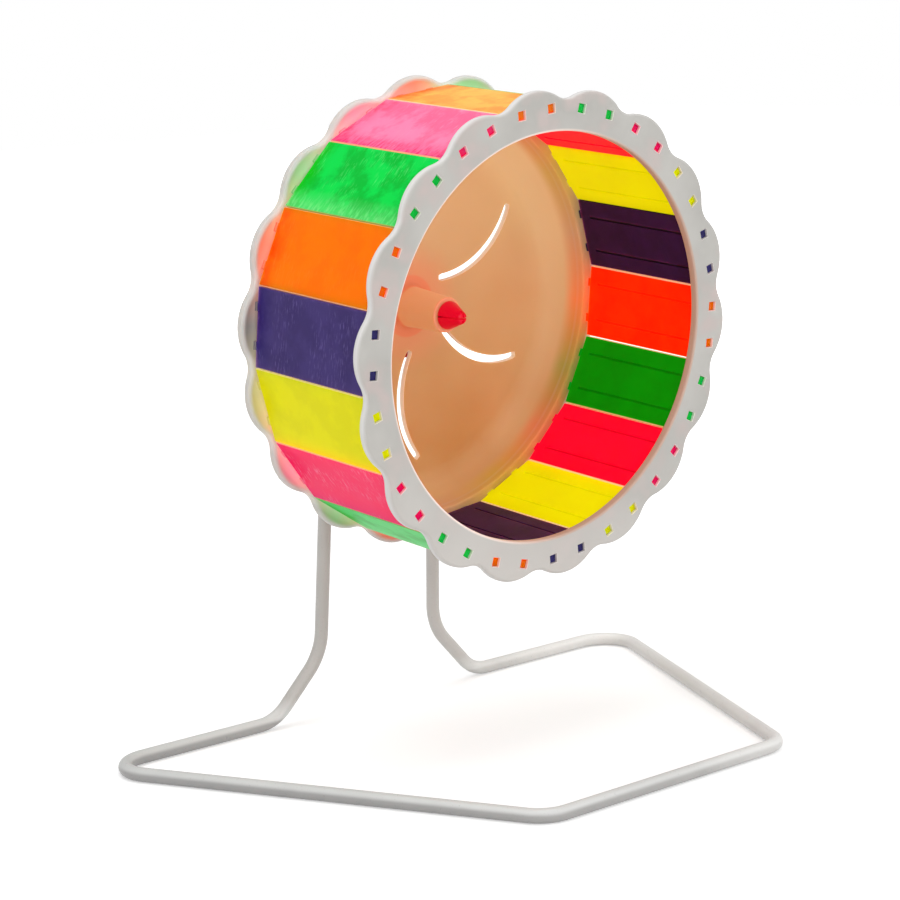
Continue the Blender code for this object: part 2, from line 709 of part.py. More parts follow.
def plank_mesh():
    """One plank, lying at the top of the wheel."""
    shape = bmesh.new()
    seam = PLANK_SEAM / 2 / math.cos(HALF_PITCH)
    outer_half = PLANK_OUTER * math.tan(HALF_PITCH) - seam
    inner_half = PLANK_INNER * math.tan(HALF_PITCH) - seam
    section = [(-outer_half, PLANK_OUTER), (outer_half, PLANK_OUTER), (inner_half, PLANK_INNER),
               (-inner_half, PLANK_INNER)]
    loops = [add_loop(shape, [Vector((x, 0, z)) for x, z in section], depth)
             for depth in (PLANK_FRONT_Y, PLANK_REAR_Y)]
    bridge_all(shape, loops)
    shape.faces.new(loops[0])
    shape.faces.new(loops[1])
    bmesh.ops.recalc_face_normals(shape, faces=shape.faces)
    bmesh.ops.bevel(shape, geom=shape.edges[:], offset=PLANK_EDGE, segments=1, affect="EDGES")

    def tab(side, depth):
        def outline(inset):
            half = TAB_SIZE / 2 - inset
            middle = side * TAB_OFFSET
            return [Vector((middle + x * half, depth, TAB_CENTRE + z * half))
                    for x, z in ((-1, -1), (1, -1), (1, 1), (-1, 1))]
        return outline

    def groove(side):
        def outline(inset):
            half = GROOVE_WIDTH / 2 - inset
            middle = side * TAB_OFFSET
            front = PLANK_FRONT_Y + GROOVE_END
            back = PLANK_REAR_Y - GROOVE_END
            return [Vector((middle - half, front, PLANK_INNER)), Vector((middle + half, front, PLANK_INNER)),
                    Vector((middle + half, back, PLANK_INNER)), Vector((middle - half, back, PLANK_INNER))]
        return outline

    forward, backward, inward = Vector((0, -1, 0)), Vector((0, 1, 0)), Vector((0, 0, -1))
    front, rear, inner = [facing(shape, direction) for direction in (forward, backward, inward)]
    for face, depth, length, direction in (
            (front, PLANK_FRONT_Y, FIT_GAP + RIM_THICKNESS - TAB_RECESS, forward),
            (rear, PLANK_REAR_Y, REAR_SHOULDER_GAP + RIM_THICKNESS - TAB_RECESS, backward)):
        levels = [(0, 0), (0, length - TAB_EDGE), (TAB_EDGE, length)]
        raise_from_face(shape, face, [tab(-1, depth), tab(1, depth)], levels, direction)
    raise_from_face(shape, inner, [groove(-1), groove(1)], [(0, 0), (0, GROOVE_DEPTH)], -inward)
    return finish_mesh("plank", shape)


def build_wheel(frame, white, disc_plastic):
    """Front ring, rear disc and planks, all on the wheel's axis."""
    axis = add_empty("wheel_axis", frame)
    axis.rotation_euler = (0, WHEEL_TURN, 0)
    add_piece("front_ring", front_ring_mesh(), white, axis)
    add_piece("rear_disc", rear_disc_mesh(), disc_plastic, axis)
    paints = {name: make_material(f"{name}_plastic", paint, 0.42) for name, paint in COLOURS.items()}
    plank = plank_mesh()
    for index, colour in enumerate(PLANK_ORDER):
        piece = add_piece(f"plank_{index + 1:02d}", plank, paints[colour], axis)
        piece.rotation_euler = (0, 2 * HALF_PITCH * index, 0)


def main():
    """Build the whole object."""
    clear_scene()
    white = make_material("white_plastic", (0.60, 0.58, 0.56), 0.40)
    disc_plastic = make_material("peach_plastic", (0.72, 0.38, 0.18), 0.38)
    coated_wire = make_material("white_coated_wire", (0.62, 0.60, 0.58), 0.35)
    pink = make_material("pink_plastic", (0.78, 0.01, 0.05), 0.38)
    steel = make_material("zinc_plated_steel", (0.62, 0.60, 0.55), 0.30, 1.0)

    add_piece("stand_frame", tube_mesh("stand_frame", stand_path(), WIRE_RADIUS), coated_wire)
    frame = add_empty("axle_frame")
    axle_y = BASE_DEPTH / 2 - AXLE_RISE * math.sin(LEAN)
    frame.location = (0, axle_y, WIRE_RADIUS + AXLE_RISE * math.cos(LEAN))
    frame.rotation_euler = (LEAN, 0, 0)
    build_bracket(frame, pink, steel)
    build_wheel(frame, white, disc_plastic)


main()
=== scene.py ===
"""Looks of a hamster exercise wheel on a bent wire stand, built around its CAD frame.

Lengths are metres. Pieces of the wheel and of its bracket are drawn in the axle's own frame, with the axle
along Y, the open mouth towards -Y and the first plank at the top, and are then put in place.
"""
import json
import logging
import math
from collections.abc import Callable, Sequence
from dataclasses import dataclass
from enum import Enum
from functools import cached_property

import bmesh
import bpy
from mathutils import Matrix, Vector


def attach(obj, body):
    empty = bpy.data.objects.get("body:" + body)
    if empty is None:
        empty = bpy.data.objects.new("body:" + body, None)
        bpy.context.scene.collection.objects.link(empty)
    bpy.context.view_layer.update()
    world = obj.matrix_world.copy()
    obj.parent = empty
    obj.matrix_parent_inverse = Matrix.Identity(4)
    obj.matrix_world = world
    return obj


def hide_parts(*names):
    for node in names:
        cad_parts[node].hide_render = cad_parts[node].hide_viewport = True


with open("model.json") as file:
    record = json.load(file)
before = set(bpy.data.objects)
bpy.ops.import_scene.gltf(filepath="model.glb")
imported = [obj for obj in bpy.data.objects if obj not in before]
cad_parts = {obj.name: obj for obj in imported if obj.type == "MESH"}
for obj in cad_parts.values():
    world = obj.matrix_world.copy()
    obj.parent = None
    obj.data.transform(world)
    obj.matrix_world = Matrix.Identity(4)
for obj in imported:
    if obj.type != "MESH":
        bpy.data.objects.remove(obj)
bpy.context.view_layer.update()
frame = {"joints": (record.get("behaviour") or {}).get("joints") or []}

log = logging.getLogger("exercise_wheel")

Outline = list[Vector]
Level = tuple[float, float]
Band = tuple[float, float]
Loop = list[bmesh.types.BMVert]
Socket = bpy.types.NodeSocket
Stops = Sequence[tuple[float, str]]
Tint = tuple[str, str]
Coat = tuple[Socket | str | None, Socket | str | None]

BLACK = "#000000"
WHITE = "#FFFFFF"
NOISE_BAND = (0.3, 0.7)
FIT_GAP = 0.0003
CUT_OVERRUN = 0.001
SUPPORT = 0.0003
SHARP_ANGLE = math.radians(34)
WALL_LEAN = 0.9


class Dye(Enum):
    """Colours the planks are moulded in."""

    GREEN = "green"
    PINK = "pink"
    YELLOW = "yellow"
    INDIGO = "indigo"
    ORANGE = "orange"


PLANK_DYES = [Dye.GREEN, Dye.PINK, Dye.YELLOW, Dye.INDIGO, Dye.ORANGE] * 3 + [Dye.GREEN, Dye.PINK, Dye.ORANGE]
PITCH = 2 * math.pi / len(PLANK_DYES)


# Node trees

def hex_colour(code: str) -> tuple[float, float, float, float]:
    """Linear red, green, blue and an alpha of one, from an sRGB colour as "#RRGGBB"."""
    channels = [int(code[start:start + 2], 16) / 255 for start in (1, 3, 5)]
    linear = [c / 12.92 if c <= 0.04045 else ((c + 0.055) / 1.055) ** 2.4 for c in channels]
    return (*linear, 1.0)


def add(tree: bpy.types.NodeTree, kind: str, *values: object, inputs: dict | None = None,
        stops: Sequence[tuple[float, str]] = (), out: str = "", **settings: object) -> Socket | None:
    """Add a node, with its settings and links.

    Args:
        tree: The node tree it goes into.
        kind: The node's type.
        values: Values, hex colours or sockets for the inputs in use, in order. None leaves one as it is.
        inputs: Values, hex colours or sockets for inputs by name.
        stops: Places and hex colours of a colour ramp.
        out: Name of the output wanted, or nothing for the first one in use.
        settings: Properties of the node.

    Returns:
        The output socket, or None for a node without outputs.
    """
    made = tree.nodes.new(kind)
    for name, value in settings.items():
        setattr(made, name, value)
    if stops:
        ramp = made.color_ramp
        while len(ramp.elements) < len(stops):
            ramp.elements.new(1.0)
        for element, (place, code) in zip(ramp.elements, stops):
            element.position = place
            element.color = hex_colour(code)
    in_use = [socket for socket in made.inputs if socket.enabled]
    pairs = list(zip(in_use, values)) + [(made.inputs[name], value) for name, value in (inputs or {}).items()]
    for socket, value in pairs:
        if isinstance(value, bpy.types.NodeSocket):
            tree.links.new(value, socket)
        elif isinstance(value, str) and value.startswith("#"):
            socket.default_value = hex_colour(value)
        elif value is not None:
            socket.default_value = value
    if out:
        return made.outputs[out]
    return next((socket for socket in made.outputs if socket.enabled), None)


def new_geometry_tree(name: str, sizes: dict[str, str]) -> tuple[bpy.types.NodeTree, dict[str, Socket]]:
    """Geometry node tree with named inputs.

    Args:
        name: The tree's name.
        sizes: Input names, each with its kind of socket.

    Returns:
        The tree, and its inputs' sockets by name, among them "Geometry" and "Material".
    """
    tree = bpy.data.node_groups.new(name, "GeometryNodeTree")
    kinds = {"Geometry": "Geometry", **sizes, "Material": "Material"}
    for label, kind in kinds.items():
        tree.interface.new_socket(label, in_out="INPUT", socket_type=f"NodeSocket{kind}")
    tree.interface.new_socket("Geometry", in_out="OUTPUT", socket_type="NodeSocketGeometry")
    entry = tree.nodes.new("NodeGroupInput")
    return tree, {label: entry.outputs[label] for label in kinds}


def close_tree(tree: bpy.types.NodeTree, shape: Socket, material: Socket) -> bpy.types.NodeTree:
    """End a geometry node tree with real geometry in its material."""
    whole = add(tree, "GeometryNodeRealizeInstances", shape)
    dressed = add(tree, "GeometryNodeSetMaterial", inputs={"Geometry": whole, "Material": material})
    add(tree, "NodeGroupOutput", dressed)
    return tree


def new_object(name: str, data: bpy.types.ID) -> bpy.types.Object:
    """Object with its data, linked into the scene."""
    made = bpy.data.objects.new(name, data)
    bpy.context.scene.collection.objects.link(made)
    return made


def run_tree(tree: bpy.types.NodeTree, mesh: bpy.types.Mesh, name: str,
             values: dict[str, object]) -> bpy.types.Mesh:
    """Run a geometry node tree on a mesh.

    Args:
        tree: The tree.
        mesh: The mesh it starts from.
        name: Name of the result.
        values: Values of the tree's inputs by name.

    Returns:
        The result as a plain mesh.
    """
    carrier = new_object(f"{name}_carrier", mesh)
    modifier = carrier.modifiers.new(tree.name, "NODES")
    modifier.node_group = tree
    for item in tree.interface.items_tree:
        if item.in_out == "INPUT" and item.name in values:
            modifier[item.identifier] = values[item.name]
    return settle(carrier, name)


def settle(carrier: bpy.types.Object, name: str) -> bpy.types.Mesh:
    """Turn an object with modifiers into a plain mesh of the given name, and delete the object."""
    depsgraph = bpy.context.evaluated_depsgraph_get()
    made = bpy.data.meshes.new_from_object(carrier.evaluated_get(depsgraph), preserve_all_data_layers=True,
                                           depsgraph=depsgraph)
    made.name = name
    carrier.modifiers.clear()
    bpy.data.objects.remove(carrier)
    return made


# Outlines and profiles

def spoke(angle: float, radius: float) -> Vector:
    """Point at a radius, at an angle clockwise from straight up as seen from the front."""
    return Vector((radius * math.sin(angle), 0, radius * math.cos(angle)))


def circle(radius: float, sides: int) -> Outline:
    """Corners of a round outline."""
    return [spoke(2 * math.pi * index / sides, radius) for index in range(sides)]


def square(half: float, across: float = 0.0, depth: float = 0.0, rise: float = 0.0) -> Outline:
    """Corners of a square about a point."""
    return [Vector((across + x * half, depth, rise + z * half))
            for x, z in ((-1, -1), (1, -1), (1, 1), (-1, 1))]


def rounding(edge: float, steps: int) -> list[Level]:
    """Inset and depth of each step of a rounded edge, from the flat face to the side."""
    turns = [math.pi / 2 * index / steps for index in range(steps + 1)]
    return [(edge * (1 - math.sin(turn)), edge * (1 - math.cos(turn))) for turn in turns]


def plate_levels(edge: float, front: float, back: float, steps: int = 5) -> list[Level]:
    """Inset and place of each loop round a plate with rounded edges, with a support loop on each face.

    Args:
        edge: Radius of the rounding.
        front: Place of the front face along the axle.
        back: Place of the back face.
        steps: Facets across each rounding.

    Returns:
        Pairs from the front face to the back face.
    """
    soft = rounding(edge, steps)
    fore = [(edge + SUPPORT, front)] + [(inset, front + depth) for inset, depth in soft]
    aft = [(inset, back - depth) for inset, depth in reversed(soft)] + [(edge + SUPPORT, back)]
    return fore + aft


def rounded_path(corners: Outline, bends: Sequence[float], step: float) -> Outline:
    """Closed path with an arc at each corner.

    Args:
        corners: Corners of the straight runs.
        bends: Bend radius at each corner.
        step: Largest turn between two points of an arc.

    Returns:
        Points of the path.
    """
    path = []
    for index, corner in enumerate(corners):
        before = (corners[index - 1] - corner).normalized()
        after = (corners[(index + 1) % len(corners)] - corner).normalized()
        half = before.angle(after) / 2
        centre = corner + (before + after).normalized() * (bends[index] / math.sin(half))
        start = corner + before * (bends[index] / math.tan(half)) - centre
        sweep = math.pi - 2 * half
        axis = after.cross(before).normalized()
        steps = max(1, math.ceil(sweep / step))
        path += [centre + Matrix.Rotation(sweep * turn / steps, 3, axis) @ start for turn in range(steps + 1)]
    return path


class Shell:
    """Mesh in the making, from loops of corners and the faces between them."""

    def __init__(self) -> None:
        """Start empty."""
        self.mesh = bmesh.new()

    def loop(self, outline: Outline, depth: float = 0.0) -> Loop:
        """New corners for an outline, moved along the axle."""
        return [self.mesh.verts.new((point.x, point.y + depth, point.z)) for point in outline]

    def bridge(self, loops: Sequence[Loop]) -> None:
        """Faces between each loop and the next."""
        for first, second in zip(loops, loops[1:]):
            for index in range(len(first)):
                after = (index + 1) % len(first)
                self.mesh.faces.new((first[index], first[after], second[after], second[index]))

    def fill(self, loops: Sequence[Loop]) -> None:
        """Flat faces inside the first loop and outside the others, which are openings."""
        edges = []
        for loop in loops:
            for start, end in zip(loop, loop[1:] + loop[:1]):
                edges.append(self.mesh.edges.get((start, end)) or self.mesh.edges.new((start, end)))
        bmesh.ops.triangle_fill(self.mesh, use_beauty=True, use_dissolve=False, edges=edges)

    def solid(self, loops: Sequence[Loop]) -> None:
        """Faces between loops and flat ends on the first and the last."""
        self.bridge(loops)
        self.fill(loops[:1])
        self.fill(loops[-1:])

    def turned(self, profile: Sequence[Level], sides: int, centre: Vector = Vector()) -> None:
        """Solid of revolution about the axle.

        Args:
            profile: Radius and place along the axle of each point, from one end on the axle to the other.
            sides: Facets round it.
            centre: Where its own axis crosses the axle frame.
        """
        loops = [self.loop([centre + point for point in circle(radius, sides)], depth)
                 for radius, depth in profile[1:-1]]
        self.bridge(loops)
        for loop, depth in ((loops[0], profile[0][1]), (loops[-1], profile[-1][1])):
            pole = self.mesh.verts.new((centre.x, depth, centre.z))
            for start, end in zip(loop, loop[1:] + loop[:1]):
                self.mesh.faces.new((start, end, pole))

    def box(self, low: Sequence[float], high: Sequence[float]) -> None:
        """Box between two corners."""
        made = bmesh.ops.create_cube(self.mesh, size=1)["verts"]
        bmesh.ops.scale(self.mesh, vec=[top - bottom for bottom, top in zip(low, high)], verts=made)
        bmesh.ops.translate(self.mesh, vec=[(top + bottom) / 2 for bottom, top in zip(low, high)], verts=made)

    def finish(self, name: str) -> bpy.types.Mesh:
        """Close the mesh up with its faces pointing out and its round faces smooth."""
        bmesh.ops.recalc_face_normals(self.mesh, faces=self.mesh.faces)
        mesh = bpy.data.meshes.new(name)
        self.mesh.to_mesh(mesh)
        self.mesh.free()
        soften(mesh)
        return mesh


def soften(mesh: bpy.types.Mesh) -> None:
    """Shade round faces smooth and keep hard edges sharp."""
    mesh.shade_smooth()
    mesh.set_sharp_from_angle(angle=SHARP_ANGLE)


def boolean(name: str, mesh: bpy.types.Mesh, tools: Sequence[tuple[str, bpy.types.Mesh]]) -> bpy.types.Mesh:
    """Cut tools out of a mesh, or join them on.

    Args:
        name: Name of the result.
        mesh: The mesh to start from.
        tools: Operations with their tool meshes, in order.

    Returns:
        The resulting mesh.
    """
    carrier = new_object(f"{name}_carrier", mesh)
    helpers = []
    for operation, tool_mesh in tools:
        helper = new_object(f"{name}_tool", tool_mesh)
        helpers.append(helper)
        modifier = carrier.modifiers.new(operation.lower(), "BOOLEAN")
        modifier.operation = operation
        modifier.object = helper
        modifier.solver = "EXACT"
    made = settle(carrier, name)
    for helper in helpers:
        bpy.data.objects.remove(helper)
    soften(made)
    return made


# Placing pieces

@dataclass(frozen=True)
class AxleFrame:
    """Where the axle stands, read from the wheel's joint."""

    wheel_turn: float = math.radians(12.63)

    def on_stand(self) -> Matrix:
        """Matrix to the world from the frame of what is fixed to the stand."""
        joint = frame["joints"][0]
        axis = Vector(joint["axis"])
        lean = math.atan2(axis.z, axis.y)
        return Matrix.Translation(joint["pos_m"]) @ Matrix.Rotation(lean, 4, "X")

    def on_wheel(self) -> Matrix:
        """Matrix to the world from the frame of what turns with the wheel."""
        return self.on_stand() @ Matrix.Rotation(self.wheel_turn, 4, "Y")


def remember_place(mesh: bpy.types.Mesh) -> None:
    """Keep the place that each corner was drawn at, for the finishes."""
    if "place" not in mesh.attributes:
        place = mesh.attributes.new("place", "FLOAT_VECTOR", "POINT")
        place.data.foreach_set("vector", [value for corner in mesh.vertices for value in corner.co])


def place_piece(mesh: bpy.types.Mesh, name: str, material: bpy.types.Material, matrix: Matrix, body: str,
                nodes: Sequence[str]) -> None:
    """Put a finished mesh into the scene in place of CAD nodes.

    Args:
        mesh: The mesh, in its own frame.
        name: The piece's name.
        material: Its finish.
        matrix: From its own frame to the world.
        body: The CAD body it rides on.
        nodes: The CAD nodes it stands for.
    """
    remember_place(mesh)
    mesh.transform(matrix)
    mesh.materials.clear()
    mesh.materials.append(material)
    piece = new_object(name, mesh)
    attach(piece, body)
    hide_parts(*nodes)
    log.info("%s: %d faces on %s", name, len(mesh.polygons), body)


# Finishes

@dataclass(frozen=True)
class Grain:
    """Noise: the size of its features, its octaves of finer detail and how strong each of them is."""

    size: float
    detail: float = 2.0
    roughness: float | None = None


class Paint:
    """A material in the making, with a short method for each kind of node that the finishes use."""

    def __init__(self, name: str, drawn: bool = True) -> None:
        """Start a material with an empty tree.

        Args:
            name: The finish's name.
            drawn: Whether places are those that the piece was drawn at, and not those of its object.
        """
        self.material = bpy.data.materials.new(name)
        self.material.use_nodes = True
        self.tree = self.material.node_tree
        self.tree.nodes.clear()
        self.place = (self.attribute("place", "Vector") if drawn
                      else add(self.tree, "ShaderNodeTexCoord", out="Object"))

    @cached_property
    def parts(self) -> Sequence[Socket]:
        """The place's parts across, along and up."""
        return add(self.tree, "ShaderNodeSeparateXYZ", self.place).node.outputs

    @property
    def across(self) -> Socket:
        """Place across the wheel."""
        return self.parts[0]

    @property
    def along(self) -> Socket:
        """Place along the axle."""
        return self.parts[1]

    @property
    def upward(self) -> Socket:
        """Place upward."""
        return self.parts[2]

    def attribute(self, name: str, out: str = "Fac") -> Socket:
        """What an attribute of the mesh holds."""
        return add(self.tree, "ShaderNodeAttribute", attribute_name=name, out=out)

    @cached_property
    def radius(self) -> Socket:
        """Distance from the wheel's axis."""
        flat = add(self.tree, "ShaderNodeVectorMath", self.place, (1.0, 0.0, 1.0), operation="MULTIPLY")
        return add(self.tree, "ShaderNodeVectorMath", flat, operation="LENGTH", out="Value")

    @cached_property
    def turn(self) -> Socket:
        """Angle round the wheel's axis, clockwise from the top."""
        return self.math("ARCTAN2", self.across, self.upward)

    def math(self, operation: str, *values: Socket | float, clamp: bool = False) -> Socket:
        """One step of arithmetic."""
        return add(self.tree, "ShaderNodeMath", *values, operation=operation, use_clamp=clamp)

    def noise(self, grain: Grain, spot: Socket | None = None) -> Socket:
        """Noise, at another place if given."""
        spot = self.place if spot is None else spot
        return add(self.tree, "ShaderNodeTexNoise", spot, 1 / grain.size, grain.detail, grain.roughness)

    def fade(self, value: Socket, band: Band, to: Band = (0.0, 1.0), base: float = 0.0,
             smooth: bool = False) -> Socket:
        """Number that changes while a value crosses a band.

        Args:
            value: The value.
            band: Where the change starts and ends, counted from the base.
            to: The number before the band and after it.
            base: What the band is counted from.
            smooth: Whether the change is eased in and out.

        Returns:
            Socket of the number.
        """
        return add(self.tree, "ShaderNodeMapRange", value, base + band[0], base + band[1], *to,
                   interpolation_type="SMOOTHSTEP" if smooth else "LINEAR")

    def mix(self, share: Socket | float, under: Socket | str, over: Socket | str,
            blend: str = "MIX") -> Socket:
        """Share of one colour over another."""
        return add(self.tree, "ShaderNodeMix", share, under, over, data_type="RGBA", blend_type=blend)

    def layer(self, share: Socket, under: Coat, over: Coat) -> Coat:
        """Share of a colour and a glow over others. Where one is None, what is under it stays."""
        return tuple(low if high is None else self.mix(share, low, high) for low, high in zip(under, over))

    def ramp(self, value: Socket, stops: Stops) -> Socket:
        """Colour along a ramp."""
        return add(self.tree, "ShaderNodeValToRGB", value, stops=stops)

    def bump(self, relief: Band, height: Socket, under: Socket | None = None, invert: bool = False) -> Socket:
        """Relief of a strength and depth, on top of another one if given."""
        return add(self.tree, "ShaderNodeBump", *relief, None, height, under, invert=invert)

    def finish(self, colour: Socket, rough: Socket, bump: Socket,
               more: dict[str, object]) -> bpy.types.Material:
        """Close the material with its shader.

        Args:
            colour: Its base colour.
            rough: Its roughness.
            bump: Its relief.
            more: Other inputs of the shader by name.

        Returns:
            The material.
        """
        given = {"Base Color": colour, "Roughness": rough, "Normal": bump, **more}
        add(self.tree, "ShaderNodeOutputMaterial", add(self.tree, "ShaderNodeBsdfPrincipled", inputs=given))
        return self.material


def translucent(glow: Socket, spread: Sequence[float], through: float) -> dict[str, object]:
    """Shader inputs of a plastic that light passes through.

    Args:
        glow: Colour of the light that comes through it.
        spread: How far red, green and blue light spread inside, as shares.
        through: How far the light spreads.

    Returns:
        Values by input name.
    """
    return {"Subsurface Weight": 1.0, "Subsurface Radius": spread, "Subsurface Scale": through,
            "Emission Color": glow, "Emission Strength": 1.0}


@dataclass(frozen=True)
class CoatedWire:
    """Steel wire dipped in off-white PVC: a smooth, slightly uneven skin with a soft sheen, with painted
    shade and light in its colour: darker to the left and underneath, lighter on top.
    """

    # Uprights: painted shade makes the left one a little darker than the right.
    upright: Stops = ((0.4, "#BAB7B3"), (0.6, "#CAC7C3"))
    # Top of the floor loop: painted light, lighter than its underside, and darker towards the left side as
    # painted shade.
    painted_light_topside: Stops = (
        (0.0, "#C2C3C1"), (0.27, "#D2D3D1"), (0.5, "#CCCDCB"), (0.85, "#EAE9E6"), (1.0, "#ECEBE8"))
    # Underside of the floor loop: painted shade, darkest towards the left side.
    painted_shade_underside: Stops = ((0.1, "#9C9B9A"), (0.5, "#AAA9A7"), (0.85, "#E0DFDC"), (1.0, "#E0DEDB"))
    dust: str = "#A39E96"
    half_span: float = 0.1278
    topside_band: Band = (0.0026, 0.0042)
    upright_band: Band = (0.0055, 0.0110)
    drift: Grain = Grain(0.018)
    drift_band: Band = (0.35, 0.7)
    drift_reach: Band = (0.05, -0.05)
    grain: Grain = Grain(0.0009)
    speck_band: Band = (0.68, 0.76)
    speck_share: Band = (0.0, 0.35)
    lumps: Grain = Grain(0.006, 1.0)
    relief: Band = (0.35, 0.0004)
    roughness: Band = (0.27, 0.37)

    def build(self) -> bpy.types.Material:
        """Build the material."""
        paint = Paint("coated_wire_pvc", drawn=False)
        fine = paint.noise(self.grain)
        drift = paint.fade(paint.noise(self.drift), self.drift_band, self.drift_reach)
        # Painted shade: the wire darkens towards the left side, with a random drift.
        tone = paint.math("ADD", paint.fade(paint.across, (-self.half_span, self.half_span)), drift)
        # Painted light on the top of the floor loop, painted shade under it, and the uprights' own painted
        # tones higher up.
        painted_light_topside = paint.fade(paint.upward, self.topside_band, smooth=True)
        colour = paint.mix(painted_light_topside, paint.ramp(tone, self.painted_shade_underside), paint.ramp(tone, self.painted_light_topside))
        upright = paint.fade(paint.upward, self.upright_band)
        colour = paint.mix(upright, colour, paint.ramp(tone, self.upright))
        colour = paint.mix(paint.fade(fine, self.speck_band, self.speck_share), colour, self.dust)
        return paint.finish(colour, paint.fade(fine, NOISE_BAND, self.roughness),
                            paint.bump(self.relief, paint.noise(self.lumps)), {"IOR": 1.52})


@dataclass(frozen=True)
class PlankGlow:
    """Light that the bright planks shed into the pale mouldings they are plugged into."""

    shades: tuple[tuple[Dye, str], ...] = (
        (Dye.GREEN, "#B0D2A4"), (Dye.PINK, "#F6A8B6"), (Dye.YELLOW, "#D4CC98"), (Dye.INDIGO, "#9A948E"),
        (Dye.ORANGE, "#EE9E84"))

    def nearest(self, paint: Paint) -> Socket:
        """Tint of the nearest plank."""
        count = len(PLANK_DYES)
        share = paint.math("MULTIPLY_ADD", paint.turn, 1 / (2 * math.pi), 0.5 / count)
        tones = dict(self.shades)
        stops = [((index + 0.5) / count, tones[dye]) for index, dye in enumerate(PLANK_DYES)]
        return paint.ramp(paint.math("FRACT", share), stops + [(1.0, tones[PLANK_DYES[0]])])


@dataclass(frozen=True)
class RingPlastic:
    """Injection-moulded polystyrene, warm white and a little cloudy, with a satin skin, and painted light in
    its colour: lighter low down, on the outer side band, round the mouth and in the holes.
    """

    colour: str = "#BDBBB6"
    cloud: str = "#B2B0AB"
    blush: str = "#C4B6B2"
    # Painted light: the ring's lower part is lighter.
    low: str = "#CCC7C2"
    # Painted highlight on the mouth's rounded edge at the left, and painted peach light from the dish on it
    # at the right.
    lip: str = "#FFEDE4"
    wall: str = "#C6AA9A"
    # Hole walls: pale as painted light through their thin edges, tinted by the nearest plank's glow.
    hole: str = "#F4EFEC"
    # Outer side band and back: painted light, lighter than the front face.
    edge: str = "#DEDCDA"
    glow: PlankGlow = PlankGlow()
    hole_tint: float = 0.35
    mouth_radius: float = 0.0706
    front: float = -0.0919
    clouds: Grain = Grain(0.022, 3.0)
    cloud_band: Band = (0.38, 0.62)
    blushes: Grain = Grain(0.011)
    blush_band: Band = (0.5, 0.7)
    blush_share: Band = (0.0, 0.8)
    low_band: Band = (-0.08119, -0.0353)
    low_share: Band = (0.8, 0.0)
    lip_band: Band = (0.0004, 0.0010)
    lit_band: Band = (-0.02118, 0.02118)
    side_band: Band = (0.00011, 0.0011)
    rim_band: Band = (0.003, 0.004)
    grain: Grain = Grain(0.0007)
    relief: Band = (0.12, 0.0002)
    roughness: Band = (0.36, 0.48)

    def build(self) -> bpy.types.Material:
        """Build the material."""
        paint = Paint("ring_polystyrene")
        slow = paint.noise(self.clouds)
        colour = paint.mix(paint.fade(slow, self.cloud_band), self.colour, self.cloud)
        warm = paint.fade(paint.noise(self.blushes), self.blush_band, self.blush_share)
        colour = paint.mix(warm, colour, self.blush)
        # Painted light: lighter towards the bottom.
        colour = paint.mix(paint.fade(paint.upward, self.low_band, self.low_share), colour, self.low)
        # Painted highlight on the mouth's edge at the left, painted peach light from the dish at the right.
        lip = paint.fade(paint.radius, self.lip_band, (1.0, 0.0), self.mouth_radius)
        mouth = paint.mix(paint.fade(paint.across, self.lit_band), self.lip, self.wall)
        colour = paint.mix(lip, colour, mouth)
        # Painted light on the outer side band and the back.
        side = paint.fade(paint.along, self.side_band, base=self.front)
        rim = paint.fade(paint.radius, self.rim_band, base=self.mouth_radius)
        colour = paint.mix(paint.math("MULTIPLY", side, rim), colour, self.edge)
        # Painted light through the hole walls, tinted by the nearest plank's glow.
        wall = paint.mix(self.hole_tint, self.hole, self.glow.nearest(paint))
        colour = paint.mix(paint.attribute("cut"), colour, wall)
        return paint.finish(colour, paint.fade(slow, NOISE_BAND, self.roughness),
                            paint.bump(self.relief, paint.noise(self.grain)),
                            {"IOR": 1.55, "Specular IOR Level": 0.2})


